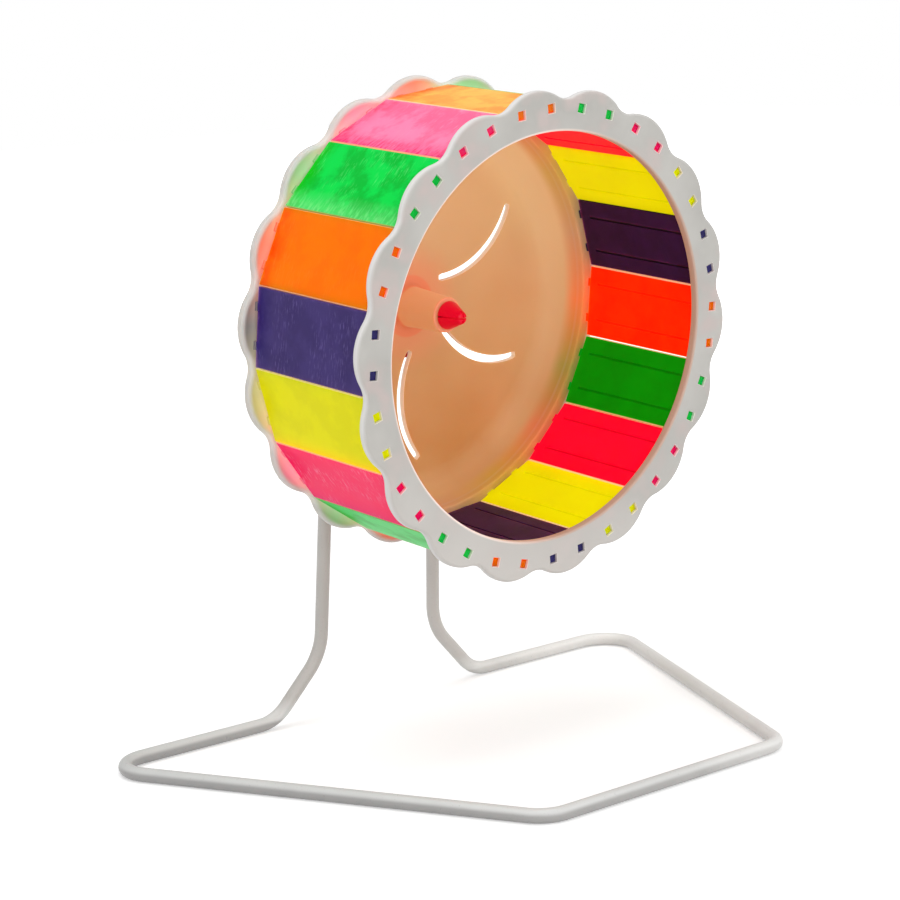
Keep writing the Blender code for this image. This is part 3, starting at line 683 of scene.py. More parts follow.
@dataclass(frozen=True)
class DiscPlastic:
    """Milky translucent polypropylene, which takes a peach tint from the planks that glow round it.

    Each pair of colours is a base colour and the glow that stands for the light coming through it. The
    colours also hold painted light and shade: more light towards the top, round the hub, on the dish wall and
    on the slot walls, and the red shade of the bracket's collar behind the disc.
    """

    # Painted light: the disc is lighter and glows more towards the top, less towards the bottom.
    high: Tint = ("#D5AF86", "#68674A")
    low: Tint = ("#C6905A", "#1E3420")
    # Painted light round the hub, warm from the red head, in place of the boss's shade.
    hub: Tint = ("#D98E68", "#785840")
    # Painted shade of the bracket's red collar behind the disc, showing through it as a reddish ring.
    collar: Tint = ("#D97455", "#86462C")
    boss: Tint = ("#DBA67E", "#7A5B3C")
    # Slot walls: pale and glowing as painted light through their thin edges.
    cut: Tint = ("#ECD0B8", "#5E4E42")
    boss_end: str = "#E0866C"
    # Painted light on the dish wall, less towards the bottom, in place of its shade.
    wall_glow: str = "#4E4E3C"
    outside: str = "#C6C4C0"
    glow: PlankGlow = PlankGlow()
    bleed: PlankGlow = PlankGlow((
        (Dye.GREEN, "#8C9030"), (Dye.PINK, "#D0704A"), (Dye.YELLOW, "#BC9C38"), (Dye.INDIGO, "#BC906C"),
        (Dye.ORANGE, "#E87838")))
    bleed_glow: float = 0.3
    boss_front: float = -0.03695
    disc_front: float = -0.0156
    flange_back: float = -0.0260
    mouth_radius: float = 0.0742
    plank_radius: float = 0.0800
    tip_radius: float = 0.0850
    lobe_radius: float = 0.0182
    patches: Grain = Grain(0.060)
    patch_band: Band = (0.36, 0.64)
    patch_drift: Band = (-0.14, 0.14)
    tone_band: Band = (-0.0496, 0.0496)
    hub_band: Band = (0.0074, 0.02664)
    hub_share: Band = (0.9, 0.0)
    collar_band: Band = (0.0110, 0.0117)
    collar_share: Band = (0.6, 0.0)
    wall_band: Band = (0.05208, 0.06634)
    wall_drop: float = -0.85
    dish_band: Band = (0.06262, 0.06944)
    dish_share: Band = (0.0, 0.6)
    raised_band: Band = (-0.0015, -0.003)
    boss_band: Band = (0.0111, 0.01036)
    boss_end_band: Band = (0.0008, 0.0003)
    lip_band: Band = (-0.0026, -0.0002)
    lip_share: Band = (0.0, 0.75)
    flange_band: Band = (-0.0004, 0.0006)
    tint_band: Band = (-0.0022, -0.00066)
    lobe_band: Band = (-0.0024, -0.0010)
    behind_band: Band = (-0.0012, -0.0002)
    near_band: Band = (0.0800, 0.0828)
    near_share: Band = (0.4, 0.0)
    grain: Grain = Grain(1 / 1400)
    relief: Band = (0.1, 0.0002)
    roughness: Band = (0.40, 0.52)
    spread: tuple[float, float, float] = (1.0, 0.8, 0.7)
    through: float = 0.006

    def build(self) -> bpy.types.Material:
        """Build the material."""
        paint = Paint("disc_polypropylene")
        slow = paint.noise(self.patches)
        coat = self.flange_coat(paint, self.inner_coat(paint, slow))
        # Painted light on the slot walls.
        colour, glow = paint.layer(paint.attribute("cut"), coat, self.cut)
        return paint.finish(
            colour, paint.fade(slow, NOISE_BAND, self.roughness),
            paint.bump(self.relief, paint.noise(self.grain)),
            {"IOR": 1.49, "Specular IOR Level": 0.2, **translucent(glow, self.spread, self.through)})

    def inner_coat(self, paint: Paint, slow: Socket) -> Coat:
        """Flat disc, dish and hub boss.

        Args:
            paint: The material in the making.
            slow: Noise of the cloudy patches.

        Returns:
            Sockets of the colour and the glow.
        """
        radius = paint.radius
        # Painted light: lighter and glowing more towards the top, less towards the bottom, with random drift.
        drift = paint.fade(slow, self.patch_band, self.patch_drift)
        tone = paint.math("ADD", paint.fade(paint.upward, self.tone_band, (1.0, 0.0)), drift, clamp=True)
        coat = paint.layer(tone, self.high, self.low)
        # Painted light round the hub, warm from the red head, in place of the boss's shade.
        coat = paint.layer(paint.fade(radius, self.hub_band, self.hub_share, smooth=True), coat, self.hub)
        # Painted shade of the bracket's red collar behind the disc, showing through it as a reddish ring.
        colour, glow = paint.layer(paint.fade(radius, self.collar_band, self.collar_share), coat, self.collar)
        # Painted light on the dish wall, less towards the bottom, in place of its shade.
        wall = paint.fade(radius, self.wall_band, smooth=True)
        wall = paint.math("MULTIPLY", wall, paint.math("MULTIPLY_ADD", tone, self.wall_drop, 1.0))
        wall = paint.math("ADD", wall, paint.fade(radius, self.dish_band, self.dish_share))
        glow = paint.mix(wall, glow, self.wall_glow, blend="ADD")
        raised = paint.fade(paint.along, self.raised_band, base=self.disc_front)
        raised = paint.math("MULTIPLY", raised, paint.fade(radius, self.boss_band))
        coat = paint.layer(raised, (colour, glow), self.boss)
        end = paint.fade(paint.along, self.boss_end_band, base=self.boss_front)
        return paint.layer(end, coat, (self.boss_end, None))

    def flange_coat(self, paint: Paint, inside: Coat) -> Coat:
        """Lip of the dish and the flange, which the planks shine into.

        Args:
            paint: The material in the making.
            inside: Colour and glow inside the flange.

        Returns:
            Sockets of the colour and the glow.
        """
        radius = paint.radius
        bleed = self.bleed.nearest(paint)
        lip = paint.fade(radius, self.lip_band, self.lip_share, self.mouth_radius, smooth=True)
        colour, glow = paint.layer(lip, inside, (bleed, paint.mix(self.bleed_glow, BLACK, bleed)))
        tint = self.glow.nearest(paint)
        edge = paint.fade(self.from_lobe_centre(paint), self.tint_band, base=self.lobe_radius, smooth=True)
        lobes = paint.fade(radius, self.lobe_band, base=self.plank_radius)
        behind = paint.math("MULTIPLY", paint.fade(paint.along, self.behind_band, base=self.flange_back),
                            paint.fade(radius, self.flange_band, base=self.mouth_radius))
        colour = paint.mix(lobes, colour, paint.mix(edge, tint, self.outside))
        colour = paint.mix(behind, colour, self.outside)
        shone = paint.mix(paint.fade(radius, self.near_band, self.near_share), BLACK, tint)
        return colour, paint.mix(paint.math("MAXIMUM", lobes, behind), glow, shone)

    def from_lobe_centre(self, paint: Paint) -> Socket:
        """Distance from the centre of the nearest scallop's round."""
        pitches = paint.math("MULTIPLY", paint.turn, 1 / PITCH)
        beside = paint.math("SUBTRACT", pitches, paint.math("ROUND", pitches))
        beside = paint.math("MULTIPLY", beside, PITCH)
        centre = self.tip_radius - self.lobe_radius
        shared = paint.math("MULTIPLY", paint.radius, paint.math("COSINE", beside))
        square = paint.math("MULTIPLY_ADD", paint.radius, paint.radius, centre ** 2)
        return paint.math("SQRT", paint.math("MULTIPLY_ADD", shared, -2 * centre, square))


@dataclass(frozen=True)
class PlankPlastic:
    """Injection-moulded polystyrene in a bright dye: satin, cloudy where it is thin, whitened by scuffs, with
    painted light and shade: lit and shaded copies of the dye, and darker rear ends and grooves.
    """

    dye: Dye
    outer: str
    # Outer colour with painted light, for the planks from a given number on, which sit on the upper left in
    # the wheel's resting pose.
    painted_light_outer: str
    blotch: str
    pale: str
    # Painted shade towards the rear end, next to the disc's flange, in wandering patches.
    deep: str
    low_edge: str
    # Running face colours, darker and deeper than the outer face's: a shaded copy of the dye, as painted
    # shade.
    inner: str
    inner_deep: str
    glow: str
    tab: str
    edge: str
    edge_glow: str
    groove_shade: float
    cloudy: float
    scuff: float
    scratched: float
    painted_light_from: float = 12.5
    lit_from: float = 3.0
    slit_light: str = "#FFE2C4"
    faint_glow: float = 0.12
    half_width: float = 0.0139
    front: float = -0.0883
    rear: float = -0.0310
    inner_radius: float = 0.0757
    tab_outer: float = 0.07915
    shift: float = 0.37
    blotches: Grain = Grain(0.013, 5.0, 0.62)
    blotch_band: Band = (0.42, 0.60)
    end_band: Band = (-0.009, -0.0006)
    end_wander_band: Band = (0.35, 0.65)
    end_wander: Band = (0.25, 1.3)
    streak: Grain = Grain(0.001)
    streaks: tuple[float, float, Band] = (0.45, 0.25, (0.46, 0.64))
    scuff_band: Band = (-0.004865, -0.013205)
    haze: Band = (0.55, 0.45)
    patches: Grain = Grain(0.0104)
    patch_band: Band = (0.44, 0.62)
    scratch: Grain = Grain(0.0006)
    scratches: tuple[tuple[float, float, Band], ...] = (
        (0.12, 0.16, (0.57, 0.70)), (-0.38, 0.18, (0.60, 0.72)), (0.62, 0.18, (0.60, 0.72)))
    inner_cloud_band: Band = (0.4, 0.65)
    inner_band: Band = (0.0008, 0.0018)
    groove_band: Band = (0.0001, 0.0003)
    rim_band: Band = (0.00028, 0.00042)
    tab_band: Band = (0.0001, 0.0003)
    sheath_band: Band = (0.0004, 0.0009)
    sheath_share: Band = (0.0, 0.8)
    sheath_rise: Band = (-0.0006, -0.0002)
    scratch_relief: Band = (0.3, 0.0002)
    cloud_relief: Band = (0.2, 0.0006)
    roughness: Band = (0.38, 0.62)
    spread: tuple[float, float, float] = (1.0, 0.8, 0.8)
    through: float = 0.008

    def build(self) -> bpy.types.Material:
        """Build the material."""
        paint = Paint(f"{self.dye.value}_polystyrene")
        seed = paint.attribute("seed")
        apart = paint.math("MULTIPLY", seed, self.shift)
        shift = add(paint.tree, "ShaderNodeCombineXYZ", apart, seed, apart)
        spot = add(paint.tree, "ShaderNodeVectorMath", paint.place, shift, operation="ADD")
        cloud = paint.noise(self.blotches, spot)
        lines = self.scratch_lines(paint, spot)
        outside = paint.mix(lines, self.outer_colour(paint, spot, seed, cloud), self.pale)
        within = paint.fade(paint.upward, self.inner_band, (1.0, 0.0), self.inner_radius)
        colour, glow = self.edge_coat(paint, seed, within, self.inner_coat(paint, within, outside, cloud))
        bump = paint.bump(self.scratch_relief, lines, invert=True)
        return paint.finish(
            self.tab_colour(paint, colour), paint.fade(lines, (0.0, 1.0), self.roughness),
            paint.bump(self.cloud_relief, cloud, bump),
            {"IOR": 1.55, "Specular IOR Level": 0.06, **translucent(glow, self.spread, self.through)})

    def outer_colour(self, paint: Paint, spot: Socket, seed: Socket, cloud: Socket) -> Socket:
        """Colour of the outer face: cloudy, with painted shade towards the rear end, scuffed along one edge,
        and a lit copy as painted light on the planks near the top.

        Args:
            paint: The material in the making.
            spot: The place on the plank, moved apart for each plank.
            seed: The plank's number.
            cloud: Noise of the blotches.

        Returns:
            Socket of the colour.
        """
        # Painted light: the planks on the upper left in the resting pose take a lit copy of the outer colour.
        colour = paint.mix(paint.math("GREATER_THAN", seed, self.painted_light_from), self.outer, self.painted_light_outer)
        blotch = paint.fade(cloud, self.blotch_band, (0.0, self.cloudy), smooth=True)
        colour = paint.mix(blotch, colour, self.blotch)
        # Painted shade towards the rear end, next to the disc's flange, in wandering patches.
        ends = paint.math("MULTIPLY", paint.fade(paint.along, self.end_band, base=self.rear),
                          paint.fade(cloud, self.end_wander_band, self.end_wander), clamp=True)
        colour = paint.mix(ends, colour, self.deep)
        dashes = self.marks(paint, spot, self.streak, *self.streaks)
        band = paint.fade(paint.across, self.scuff_band, smooth=True)
        band = paint.math("MULTIPLY", band, paint.math("MULTIPLY_ADD", dashes, *self.haze))
        return paint.mix(paint.math("MULTIPLY", band, self.scuff), colour, self.low_edge)

    def scratch_lines(self, paint: Paint, spot: Socket) -> Socket:
        """Mask of the scratches, which lie in patches."""
        patchy = paint.fade(paint.noise(self.patches, spot), self.patch_band, (0.0, self.scratched))
        lines, *others = (self.marks(paint, spot, self.scratch, *ways) for ways in self.scratches)
        for more in others:
            lines = paint.math("MAXIMUM", lines, more)
        return paint.math("MULTIPLY", lines, patchy)

    def inner_coat(self, paint: Paint, within: Socket, outside: Socket, cloud: Socket) -> Coat:
        """Running face in a shaded copy of the dye, with painted shade in its grooves.

        Args:
            paint: The material in the making.
            within: Mask of the running face.
            outside: Colour of the outer face.
            cloud: Noise of the blotches.

        Returns:
            Sockets of the colour and the glow.
        """
        inside = paint.mix(paint.fade(cloud, self.inner_cloud_band), self.inner, self.inner_deep)
        colour = paint.mix(within, outside, inside)
        glow = paint.mix(within, paint.mix(self.faint_glow, BLACK, colour), self.glow)
        # Painted shade in the grooves.
        sunk = paint.fade(paint.upward, self.groove_band, (0.0, self.groove_shade), self.inner_radius)
        return paint.layer(paint.math("MULTIPLY", sunk, within), (colour, glow), (BLACK, BLACK))

    def edge_coat(self, paint: Paint, seed: Socket, within: Socket, under: Coat) -> Coat:
        """Light that the seams catch between one plank and the next.

        Args:
            paint: The material in the making.
            seed: The plank's number.
            within: Mask of the running face.
            under: Colour and glow of the faces.

        Returns:
            Sockets of the colour and the glow.
        """
        side = paint.math("MULTIPLY", paint.upward, math.tan(PITCH / 2))
        margin = paint.math("SUBTRACT", side, paint.math("ABSOLUTE", paint.across))
        turn = paint.math("MULTIPLY_ADD", paint.across, 0.5 / self.half_width, seed)
        lit = paint.math("MAXIMUM", paint.math("GREATER_THAN", turn, self.lit_from),
                         paint.math("SUBTRACT", 1.0, within))
        rim = paint.math("MULTIPLY", paint.fade(margin, self.rim_band, (1.0, 0.0)), lit)
        return paint.layer(rim, under, (paint.mix(within, self.edge, self.slit_light), self.edge_glow))

    def tab_colour(self, paint: Paint, colour: Socket) -> Socket:
        """Colour with the tabs added, whose rear ends show pale through the disc's flange."""
        beyond = paint.math("ABSOLUTE", paint.math("SUBTRACT", paint.along, (self.front + self.rear) / 2))
        tab = paint.fade(beyond, self.tab_band, base=(self.rear - self.front) / 2)
        colour = paint.mix(tab, colour, self.tab)
        sheathed = paint.math(
            "MULTIPLY", paint.fade(paint.along, self.sheath_band, self.sheath_share, self.rear),
            paint.fade(paint.upward, self.sheath_rise, base=self.tab_outer))
        return paint.mix(sheathed, colour, dict(PlankGlow().shades)[self.dye])

    def marks(self, paint: Paint, spot: Socket, grain: Grain, turn: float, stretch: float,
              band: Band) -> Socket:
        """Fine marks that run across the plank.

        Args:
            paint: The material in the making.
            spot: The place on the plank.
            grain: Width of a mark, doubled.
            turn: How far the marks lean from straight across.
            stretch: Width of a mark as a share of its length.
            band: Values of the noise where a mark starts and where it is full.

        Returns:
            Socket of a mask of the marks.
        """
        turned = add(paint.tree, "ShaderNodeVectorRotate", spot, None, None, turn, rotation_type="Z_AXIS")
        drawn = add(paint.tree, "ShaderNodeMapping", turned, None, None, (stretch, 1.0, 1.0))
        return paint.fade(paint.noise(grain, drawn), band)


PLANK_FINISHES = [
    PlankPlastic(
        Dye.GREEN, outer="#34CA58", painted_light_outer="#00CE48", blotch="#00B032", pale="#70E284", deep="#00B40C",
        low_edge="#70DC80", inner="#009E06", inner_deep="#008E04", glow="#005600", tab="#00B63A",
        edge="#8CA04A", edge_glow="#3A4018", groove_shade=0.2, cloudy=0.95, scuff=0.8, scratched=0.4),
    PlankPlastic(
        Dye.PINK, outer="#F4185A", painted_light_outer="#FF7EA6", blotch="#F82C66", pale="#FFA6C2", deep="#EE0050",
        low_edge="#F40060", inner="#FF0430", inner_deep="#FF0424", glow="#B0001C", tab="#F60050",
        edge="#FF9A78", edge_glow="#A05A40", groove_shade=0.35, cloudy=0.45, scuff=0.95, scratched=0.4),
    PlankPlastic(
        Dye.YELLOW, outer="#DEDC00", painted_light_outer="#DEDC00", blotch="#D6D400", pale="#E6E634", deep="#D2CE00",
        low_edge="#E4E41E", inner="#E2E000", inner_deep="#D8D200", glow="#939C00", tab="#E2DE00",
        edge="#FBE288", edge_glow="#8C7C40", groove_shade=0.1, cloudy=0.7, scuff=0.15, scratched=0.05),
    PlankPlastic(
        Dye.INDIGO, outer="#42346E", painted_light_outer="#42346E", blotch="#3A2C63", pale="#6A5C9A", deep="#2A1A66",
        low_edge="#382A66", inner="#3E1A56", inner_deep="#34154A", glow="#000000", tab="#28245A",
        edge="#47356C", edge_glow="#140C20", groove_shade=0.75, cloudy=0.9, scuff=0.3, scratched=0.7),
    PlankPlastic(
        Dye.ORANGE, outer="#FF7400", painted_light_outer="#FFB44C", blotch="#FF6600", pale="#FFAE5C", deep="#FF4400",
        low_edge="#FF6402", inner="#FF3A00", inner_deep="#FA2E00", glow="#B00400", tab="#FF5C00",
        edge="#FFB890", edge_glow="#A0684C", groove_shade=0.12, cloudy=0.45, scuff=0.3, scratched=0.1,
        painted_light_from=16.5),
]


@dataclass(frozen=True)
class BracketPlastic:
    """Injection-moulded polypropylene in a deep pink red, with a soft gloss."""

    colour: str = "#DE0630"
    deep: str = "#C80424"
    glow: str = "#860014"
    head_base: float = -0.03725
    head_band: Band = (0.0, -0.0005)
    clouds: Grain = Grain(1 / 90, 3.0)
    grain: Grain = Grain(0.0012)
    relief: Band = (0.15, 0.0002)
    roughness: Band = (0.3, 0.42)

    def build(self) -> bpy.types.Material:
        """Build the material."""
        paint = Paint("bracket_polypropylene")
        colour = paint.mix(paint.noise(self.clouds), self.colour, self.deep)
        fine = paint.noise(self.grain)
        glow = paint.mix(paint.fade(paint.along, self.head_band, base=self.head_base), BLACK, self.glow)
        return paint.finish(
            colour, paint.fade(fine, NOISE_BAND, self.roughness), paint.bump(self.relief, fine),
            {"IOR": 1.49, "Specular IOR Level": 0.2, "Emission Color": glow, "Emission Strength": 1.0})


@dataclass(frozen=True)
class ZincSteel:
    """Zinc-plated steel screws: pale grey metal with fine turning marks."""

    colour: str = "#C9C7C1"
    dull: str = "#9E9B93"
    marks: Grain = Grain(0.00025, 3.0)
    relief: Band = (0.2, 0.0001)
    roughness: Band = (0.28, 0.45)

    def build(self) -> bpy.types.Material:
        """Build the material."""
        paint = Paint("screw_zinc_steel")
        noise = paint.noise(self.marks)
        return paint.finish(
            paint.mix(noise, self.colour, self.dull), paint.fade(noise, NOISE_BAND, self.roughness),
            paint.bump(self.relief, noise), {"Metallic": 1.0})


# Stand

@dataclass
class WireStand:
    """Floor loop and two uprights, bent from one round wire."""

    wire_radius: float = 0.0025
    base_depth: float = 0.1555
    front_half: float = 0.0556
    rear_half: float = 0.1278
    foot_half: float = 0.0485
    knee_half: float = 0.0274
    knee_rise: float = 0.0224
    axle_half: float = 0.0239
    axle_rise: float = 0.1529
    lean: float = math.radians(4.85)
    front_bend: float = 0.012
    rear_bend: float = 0.013
    foot_bend: float = 0.016
    knee_bend: float = 0.022
    arch_bend_share: float = 0.97
    sides: int = 40
    arc_steps: int = 22

    def upright_half(self, rise: float) -> float:
        """Half the distance between the uprights' centre lines at a height along them."""
        slope = (self.axle_half - self.knee_half) / (self.axle_rise - self.knee_rise)
        return self.knee_half + slope * (rise - self.knee_rise)

    def corners(self) -> tuple[Outline, list[float]]:
        """Corners of the bent wire.

        Returns:
            The corners once round, and the bend radius at each.
        """
        rear = self.base_depth / 2
        arch_rise = self.axle_rise + self.axle_half
        arch_half = self.upright_half(arch_rise)

        def on_lean(across: float, rise: float) -> Vector:
            """Point on the leaning uprights."""
            return Vector((across, rear - rise * math.sin(self.lean),
                           self.wire_radius + rise * math.cos(self.lean)))

        right = [
            Vector((self.front_half, -rear, self.wire_radius)),
            Vector((self.rear_half, rear, self.wire_radius)),
            on_lean(self.foot_half, 0),
            on_lean(self.knee_half, self.knee_rise),
            on_lean(arch_half, arch_rise),
        ]
        bends = [self.front_bend, self.rear_bend, self.foot_bend, self.knee_bend,
                 arch_half * self.arch_bend_share]
        left = [Vector((-point.x, point.y, point.z)) for point in reversed(right)]
        return right + left, bends + bends[::-1]

    def bent_wire_tree(self) -> bpy.types.NodeTree:
        """Geometry node tree that fillets a wire's corners and gives it its thickness."""
        tree, given = new_geometry_tree("bent_wire", {
            "Wire Radius": "Float", "Sides": "Int", "Arc Steps": "Int"})
        line = add(tree, "GeometryNodeMeshToCurve", given["Geometry"])
        bend = add(tree, "GeometryNodeInputNamedAttribute", "bend_radius", data_type="FLOAT")
        path = add(tree, "GeometryNodeFilletCurve", inputs={
            "Curve": line, "Count": given["Arc Steps"], "Radius": bend}, mode="POLY")
        profile = add(tree, "GeometryNodeCurvePrimitiveCircle", inputs={
            "Resolution": given["Sides"], "Radius": given["Wire Radius"]})
        return close_tree(tree, add(tree, "GeometryNodeCurveToMesh", path, profile), given["Material"])

    def wire_mesh(self, name: str, extra: float, material: bpy.types.Material | None) -> bpy.types.Mesh:
        """Wire, or the room it takes in the bracket.

        Args:
            name: Name of the mesh.
            extra: What is added to the wire's radius.
            material: Its finish.

        Returns:
            The wire's mesh in the world's frame.
        """
        corners, bends = self.corners()
        line = bpy.data.meshes.new(f"{name}_line")
        count = len(corners)
        line.from_pydata(corners, [(index, (index + 1) % count) for index in range(count)], [])
        line.attributes.new("bend_radius", "FLOAT", "POINT").data.foreach_set("value", bends)
        made = run_tree(self.bent_wire_tree(), line, name, {
            "Wire Radius": self.wire_radius + extra, "Sides": self.sides, "Arc Steps": self.arc_steps,
            "Material": material})
        made.shade_smooth()
        return made

    def build(self, material: bpy.types.Material) -> None:
        """Build and dress the stand's wire."""
        mesh = self.wire_mesh("stand_wire", 0.0, material)
        place_piece(mesh, "stand_wire", material, Matrix.Identity(4), "stand", ["stand_frame"])


# Repeats round the axle

def copies_tree() -> bpy.types.NodeTree:
    """Tree that lays copies of a shape round the axle: the picked one, or all when Picked is below zero."""
    tree, given = new_geometry_tree("copies_round_the_axle", {
        "Count": "Int", "First Turn": "Float", "Picked": "Int"})
    index = add(tree, "GeometryNodeInputIndex")
    step = add(tree, "ShaderNodeMath", 2 * math.pi, given["Count"], operation="DIVIDE")
    turn = add(tree, "ShaderNodeMath", index, step, given["First Turn"], operation="MULTIPLY_ADD")
    rotation = add(tree, "ShaderNodeCombineXYZ", 0.0, turn, 0.0)
    places = add(tree, "GeometryNodePoints", given["Count"])
    this_one = add(tree, "FunctionNodeCompare", index, given["Picked"], data_type="INT", operation="EQUAL")
    all_wanted = add(tree, "FunctionNodeCompare", given["Picked"], 0, data_type="INT", operation="LESS_THAN")
    wanted = add(tree, "FunctionNodeBooleanMath", this_one, all_wanted, operation="OR")
    seeded = add(tree, "GeometryNodeStoreNamedAttribute", inputs={
        "Geometry": places, "Name": "seed", "Value": index}, data_type="FLOAT", domain="POINT")
    copies = add(tree, "GeometryNodeInstanceOnPoints", inputs={
        "Points": seeded, "Selection": wanted, "Instance": given["Geometry"], "Rotation": rotation})
    return close_tree(tree, copies, given["Material"])


def screws_tree() -> bpy.types.NodeTree:
    """Tree that sets screws on a grid of two by two, each turned at random by a fixed seed."""
    tree, given = new_geometry_tree("screws_on_grid", {"Span": "Float", "Rise": "Float", "Middle": "Float"})
    grid = add(tree, "GeometryNodeMeshGrid", inputs={
        "Size X": given["Span"], "Size Y": given["Rise"], "Vertices X": 2, "Vertices Y": 2}, out="Mesh")
    middle = add(tree, "ShaderNodeCombineXYZ", 0.0, 0.0, given["Middle"])
    upright = add(tree, "GeometryNodeTransform", inputs={
        "Geometry": grid, "Translation": middle, "Rotation": (math.pi / 2, 0.0, 0.0)})
    turn = add(tree, "FunctionNodeRandomValue", inputs={
        "Min": (0.0, 0.0, 0.0), "Max": (0.0, math.pi / 2, 0.0), "Seed": 7}, data_type="FLOAT_VECTOR")
    screws = add(tree, "GeometryNodeInstanceOnPoints", inputs={
        "Points": upright, "Instance": given["Geometry"], "Rotation": turn})
    return close_tree(tree, screws, given["Material"])


# Axle bracket

@dataclass
class AxleBracket:
    """Two moulded halves screwed together over the wire, and the snap pin that carries the wheel."""

    stand: WireStand
    half: float = 0.0045
    edge: float = 0.0008
    edge_steps: int = 4
    arc_step: float = math.radians(7)
    inset: float = 0.0012
    drop: float = 0.0220
    corner: float = 0.005
    ear_reach: float = 0.0062
    ear_top: float = 0.0035
    ear_bottom: float = 0.0135
    ear_corner: float = 0.002
    ear_root: float = 0.001
    collar_radius: float = 0.011
    collar_face: float = -0.0140
    pin_radius: float = 0.0042
    slit: float = 0.0006
    slit_end: float = -0.02655
    notch_depth: float = 0.0016
    head_radius: float = 0.0051
    head_base: float = -0.03725
    head_rim: tuple[Level, ...] = ((-0.0002, 0.0), (0.0, -0.0002), (0.0, -0.0008), (-0.00012, -0.0012))
    head_tip: float = -0.04555
    nose_radius: float = 0.0022
    nose_length: float = 0.0008
    nose_turns: tuple[float, ...] = (0.0, 0.5, 1.0, 1.35)
    screw_half_span: float = 0.0155
    screw_top: float = 0.0075
    screw_bottom: float = 0.0150
    shank: float = 0.0013
    screw_head: float = 0.0028
    screw_head_height: float = 0.0019
    screw_edge: float = 0.0005
    dome_turns: tuple[float, ...] = (0.0, 0.5, 1.0, math.pi / 2)
    bite: float = 0.0028
    recess_reach: float = 0.0016
    recess_width: float = 0.0007
    recess_depth: float = 0.0009
    pin_sides: int = 72
    screw_sides: int = 40

    def outline(self, inset: float) -> Outline:
        """Arch between the uprights with an ear round each of them, drawn in by an inset."""
        rise = self.stand.axle_rise
        arch = self.stand.upright_half(rise) - self.inset - inset
        foot = self.stand.upright_half(rise - self.drop) - self.inset - inset
        ear = self.stand.upright_half(rise - self.ear_top) + self.ear_reach - inset
        right = [
            (arch, arch, arch * self.stand.arch_bend_share),
            (arch, -self.ear_top - inset, self.ear_root + inset),
            (ear, -self.ear_top - inset, self.ear_corner - inset),
            (ear, inset - self.ear_bottom, self.ear_corner - inset),
            (foot, inset - self.ear_bottom, self.ear_root + inset),
            (foot, inset - self.drop, self.corner - inset),
        ]
        corners = [Vector((x, 0, z)) for x, z, _ in right]
        corners += [Vector((-x, 0, z)) for x, z, _ in reversed(right)]
        bends = [bend for _, _, bend in right]
        return rounded_path(corners, bends + bends[::-1], self.arc_step)

    def plate(self, name: str, front: float, back: float) -> bpy.types.Mesh:
        """Flat half of the bracket, before it is cut."""
        shell = Shell()
        shell.solid([shell.loop(self.outline(inset), depth)
                     for inset, depth in plate_levels(self.edge, front, back, self.edge_steps)])
        return shell.finish(name)

    def turned(self, name: str, profile: Sequence[Level], sides: int,
               centres: Sequence[Vector] = (Vector(),)) -> bpy.types.Mesh:
        """Mesh with one turned solid at each centre."""
        shell = Shell()
        for centre in centres:
            shell.turned(profile, sides, centre)
        return shell.finish(name)

    def screw_centres(self) -> list[Vector]:
        """Centres of the four screws."""
        return [Vector((side * self.screw_half_span, 0, row)) for row in (self.screw_top, -self.screw_bottom)
                for side in (-1, 1)]

    def wire_room(self, matrix: Matrix) -> bpy.types.Mesh:
        """Room that the wire takes, in the axle's frame."""
        room = self.stand.wire_mesh("wire_room", FIT_GAP, None)
        room.transform(matrix.inverted())
        return room

    def pin_mesh(self) -> bpy.types.Mesh:
        """Snap pin with its slit, cone head and rim."""
        base = self.collar_face
        tip = self.head_tip
        rim = [(self.head_radius + out, self.head_base + depth) for out, depth in self.head_rim]
        nose = [(self.nose_radius * math.cos(turn), tip + self.nose_length * (1 - math.sin(turn)))
                for turn in self.nose_turns]
        shaft = [(0, base - FIT_GAP), (self.pin_radius, base - FIT_GAP), (self.pin_radius, self.head_base)]
        pin = self.turned("pin", [*shaft, *rim, *nose, (0, tip)], self.pin_sides)
        reach = self.head_radius + CUT_OVERRUN
        slit = Shell()
        slit.box((-reach, tip - CUT_OVERRUN, -self.slit / 2), (reach, self.slit_end, self.slit / 2))
        notch = Shell()
        notch.box((-self.slit / 2, tip - CUT_OVERRUN, -reach), (self.slit / 2, tip + self.notch_depth, reach))
        return boolean("snap_pin", pin, [("DIFFERENCE", slit.finish("pin_slit")),
                                         ("DIFFERENCE", notch.finish("pin_notch"))])

    def screw_mesh(self) -> bpy.types.Mesh:
        """One screw with a cross recess, on the axle."""
        tip = -FIT_GAP / 2 - self.bite
        top = self.half - FIT_GAP
        seat = top - self.screw_head_height
        dome = [(self.screw_head - self.screw_edge * (1 - math.cos(turn)),
                 top - self.screw_edge * (1 - math.sin(turn))) for turn in self.dome_turns]
        profile = [(0, tip), (self.shank / 2, tip), (self.shank, tip + self.shank / 2), (self.shank, seat),
                   (self.screw_head, seat), *dome, (0, top)]
        screw = self.turned("screw", profile, self.screw_sides)
        crosses = []
        for wide, tall in ((self.recess_reach, self.recess_width / 2),
                           (self.recess_width / 2, self.recess_reach)):
            bar = Shell()
            bar.box((-wide, top - self.recess_depth, -tall), (wide, top + CUT_OVERRUN, tall))
            crosses.append(("DIFFERENCE", bar.finish("recess_bar")))
        return boolean("screw", screw, crosses)

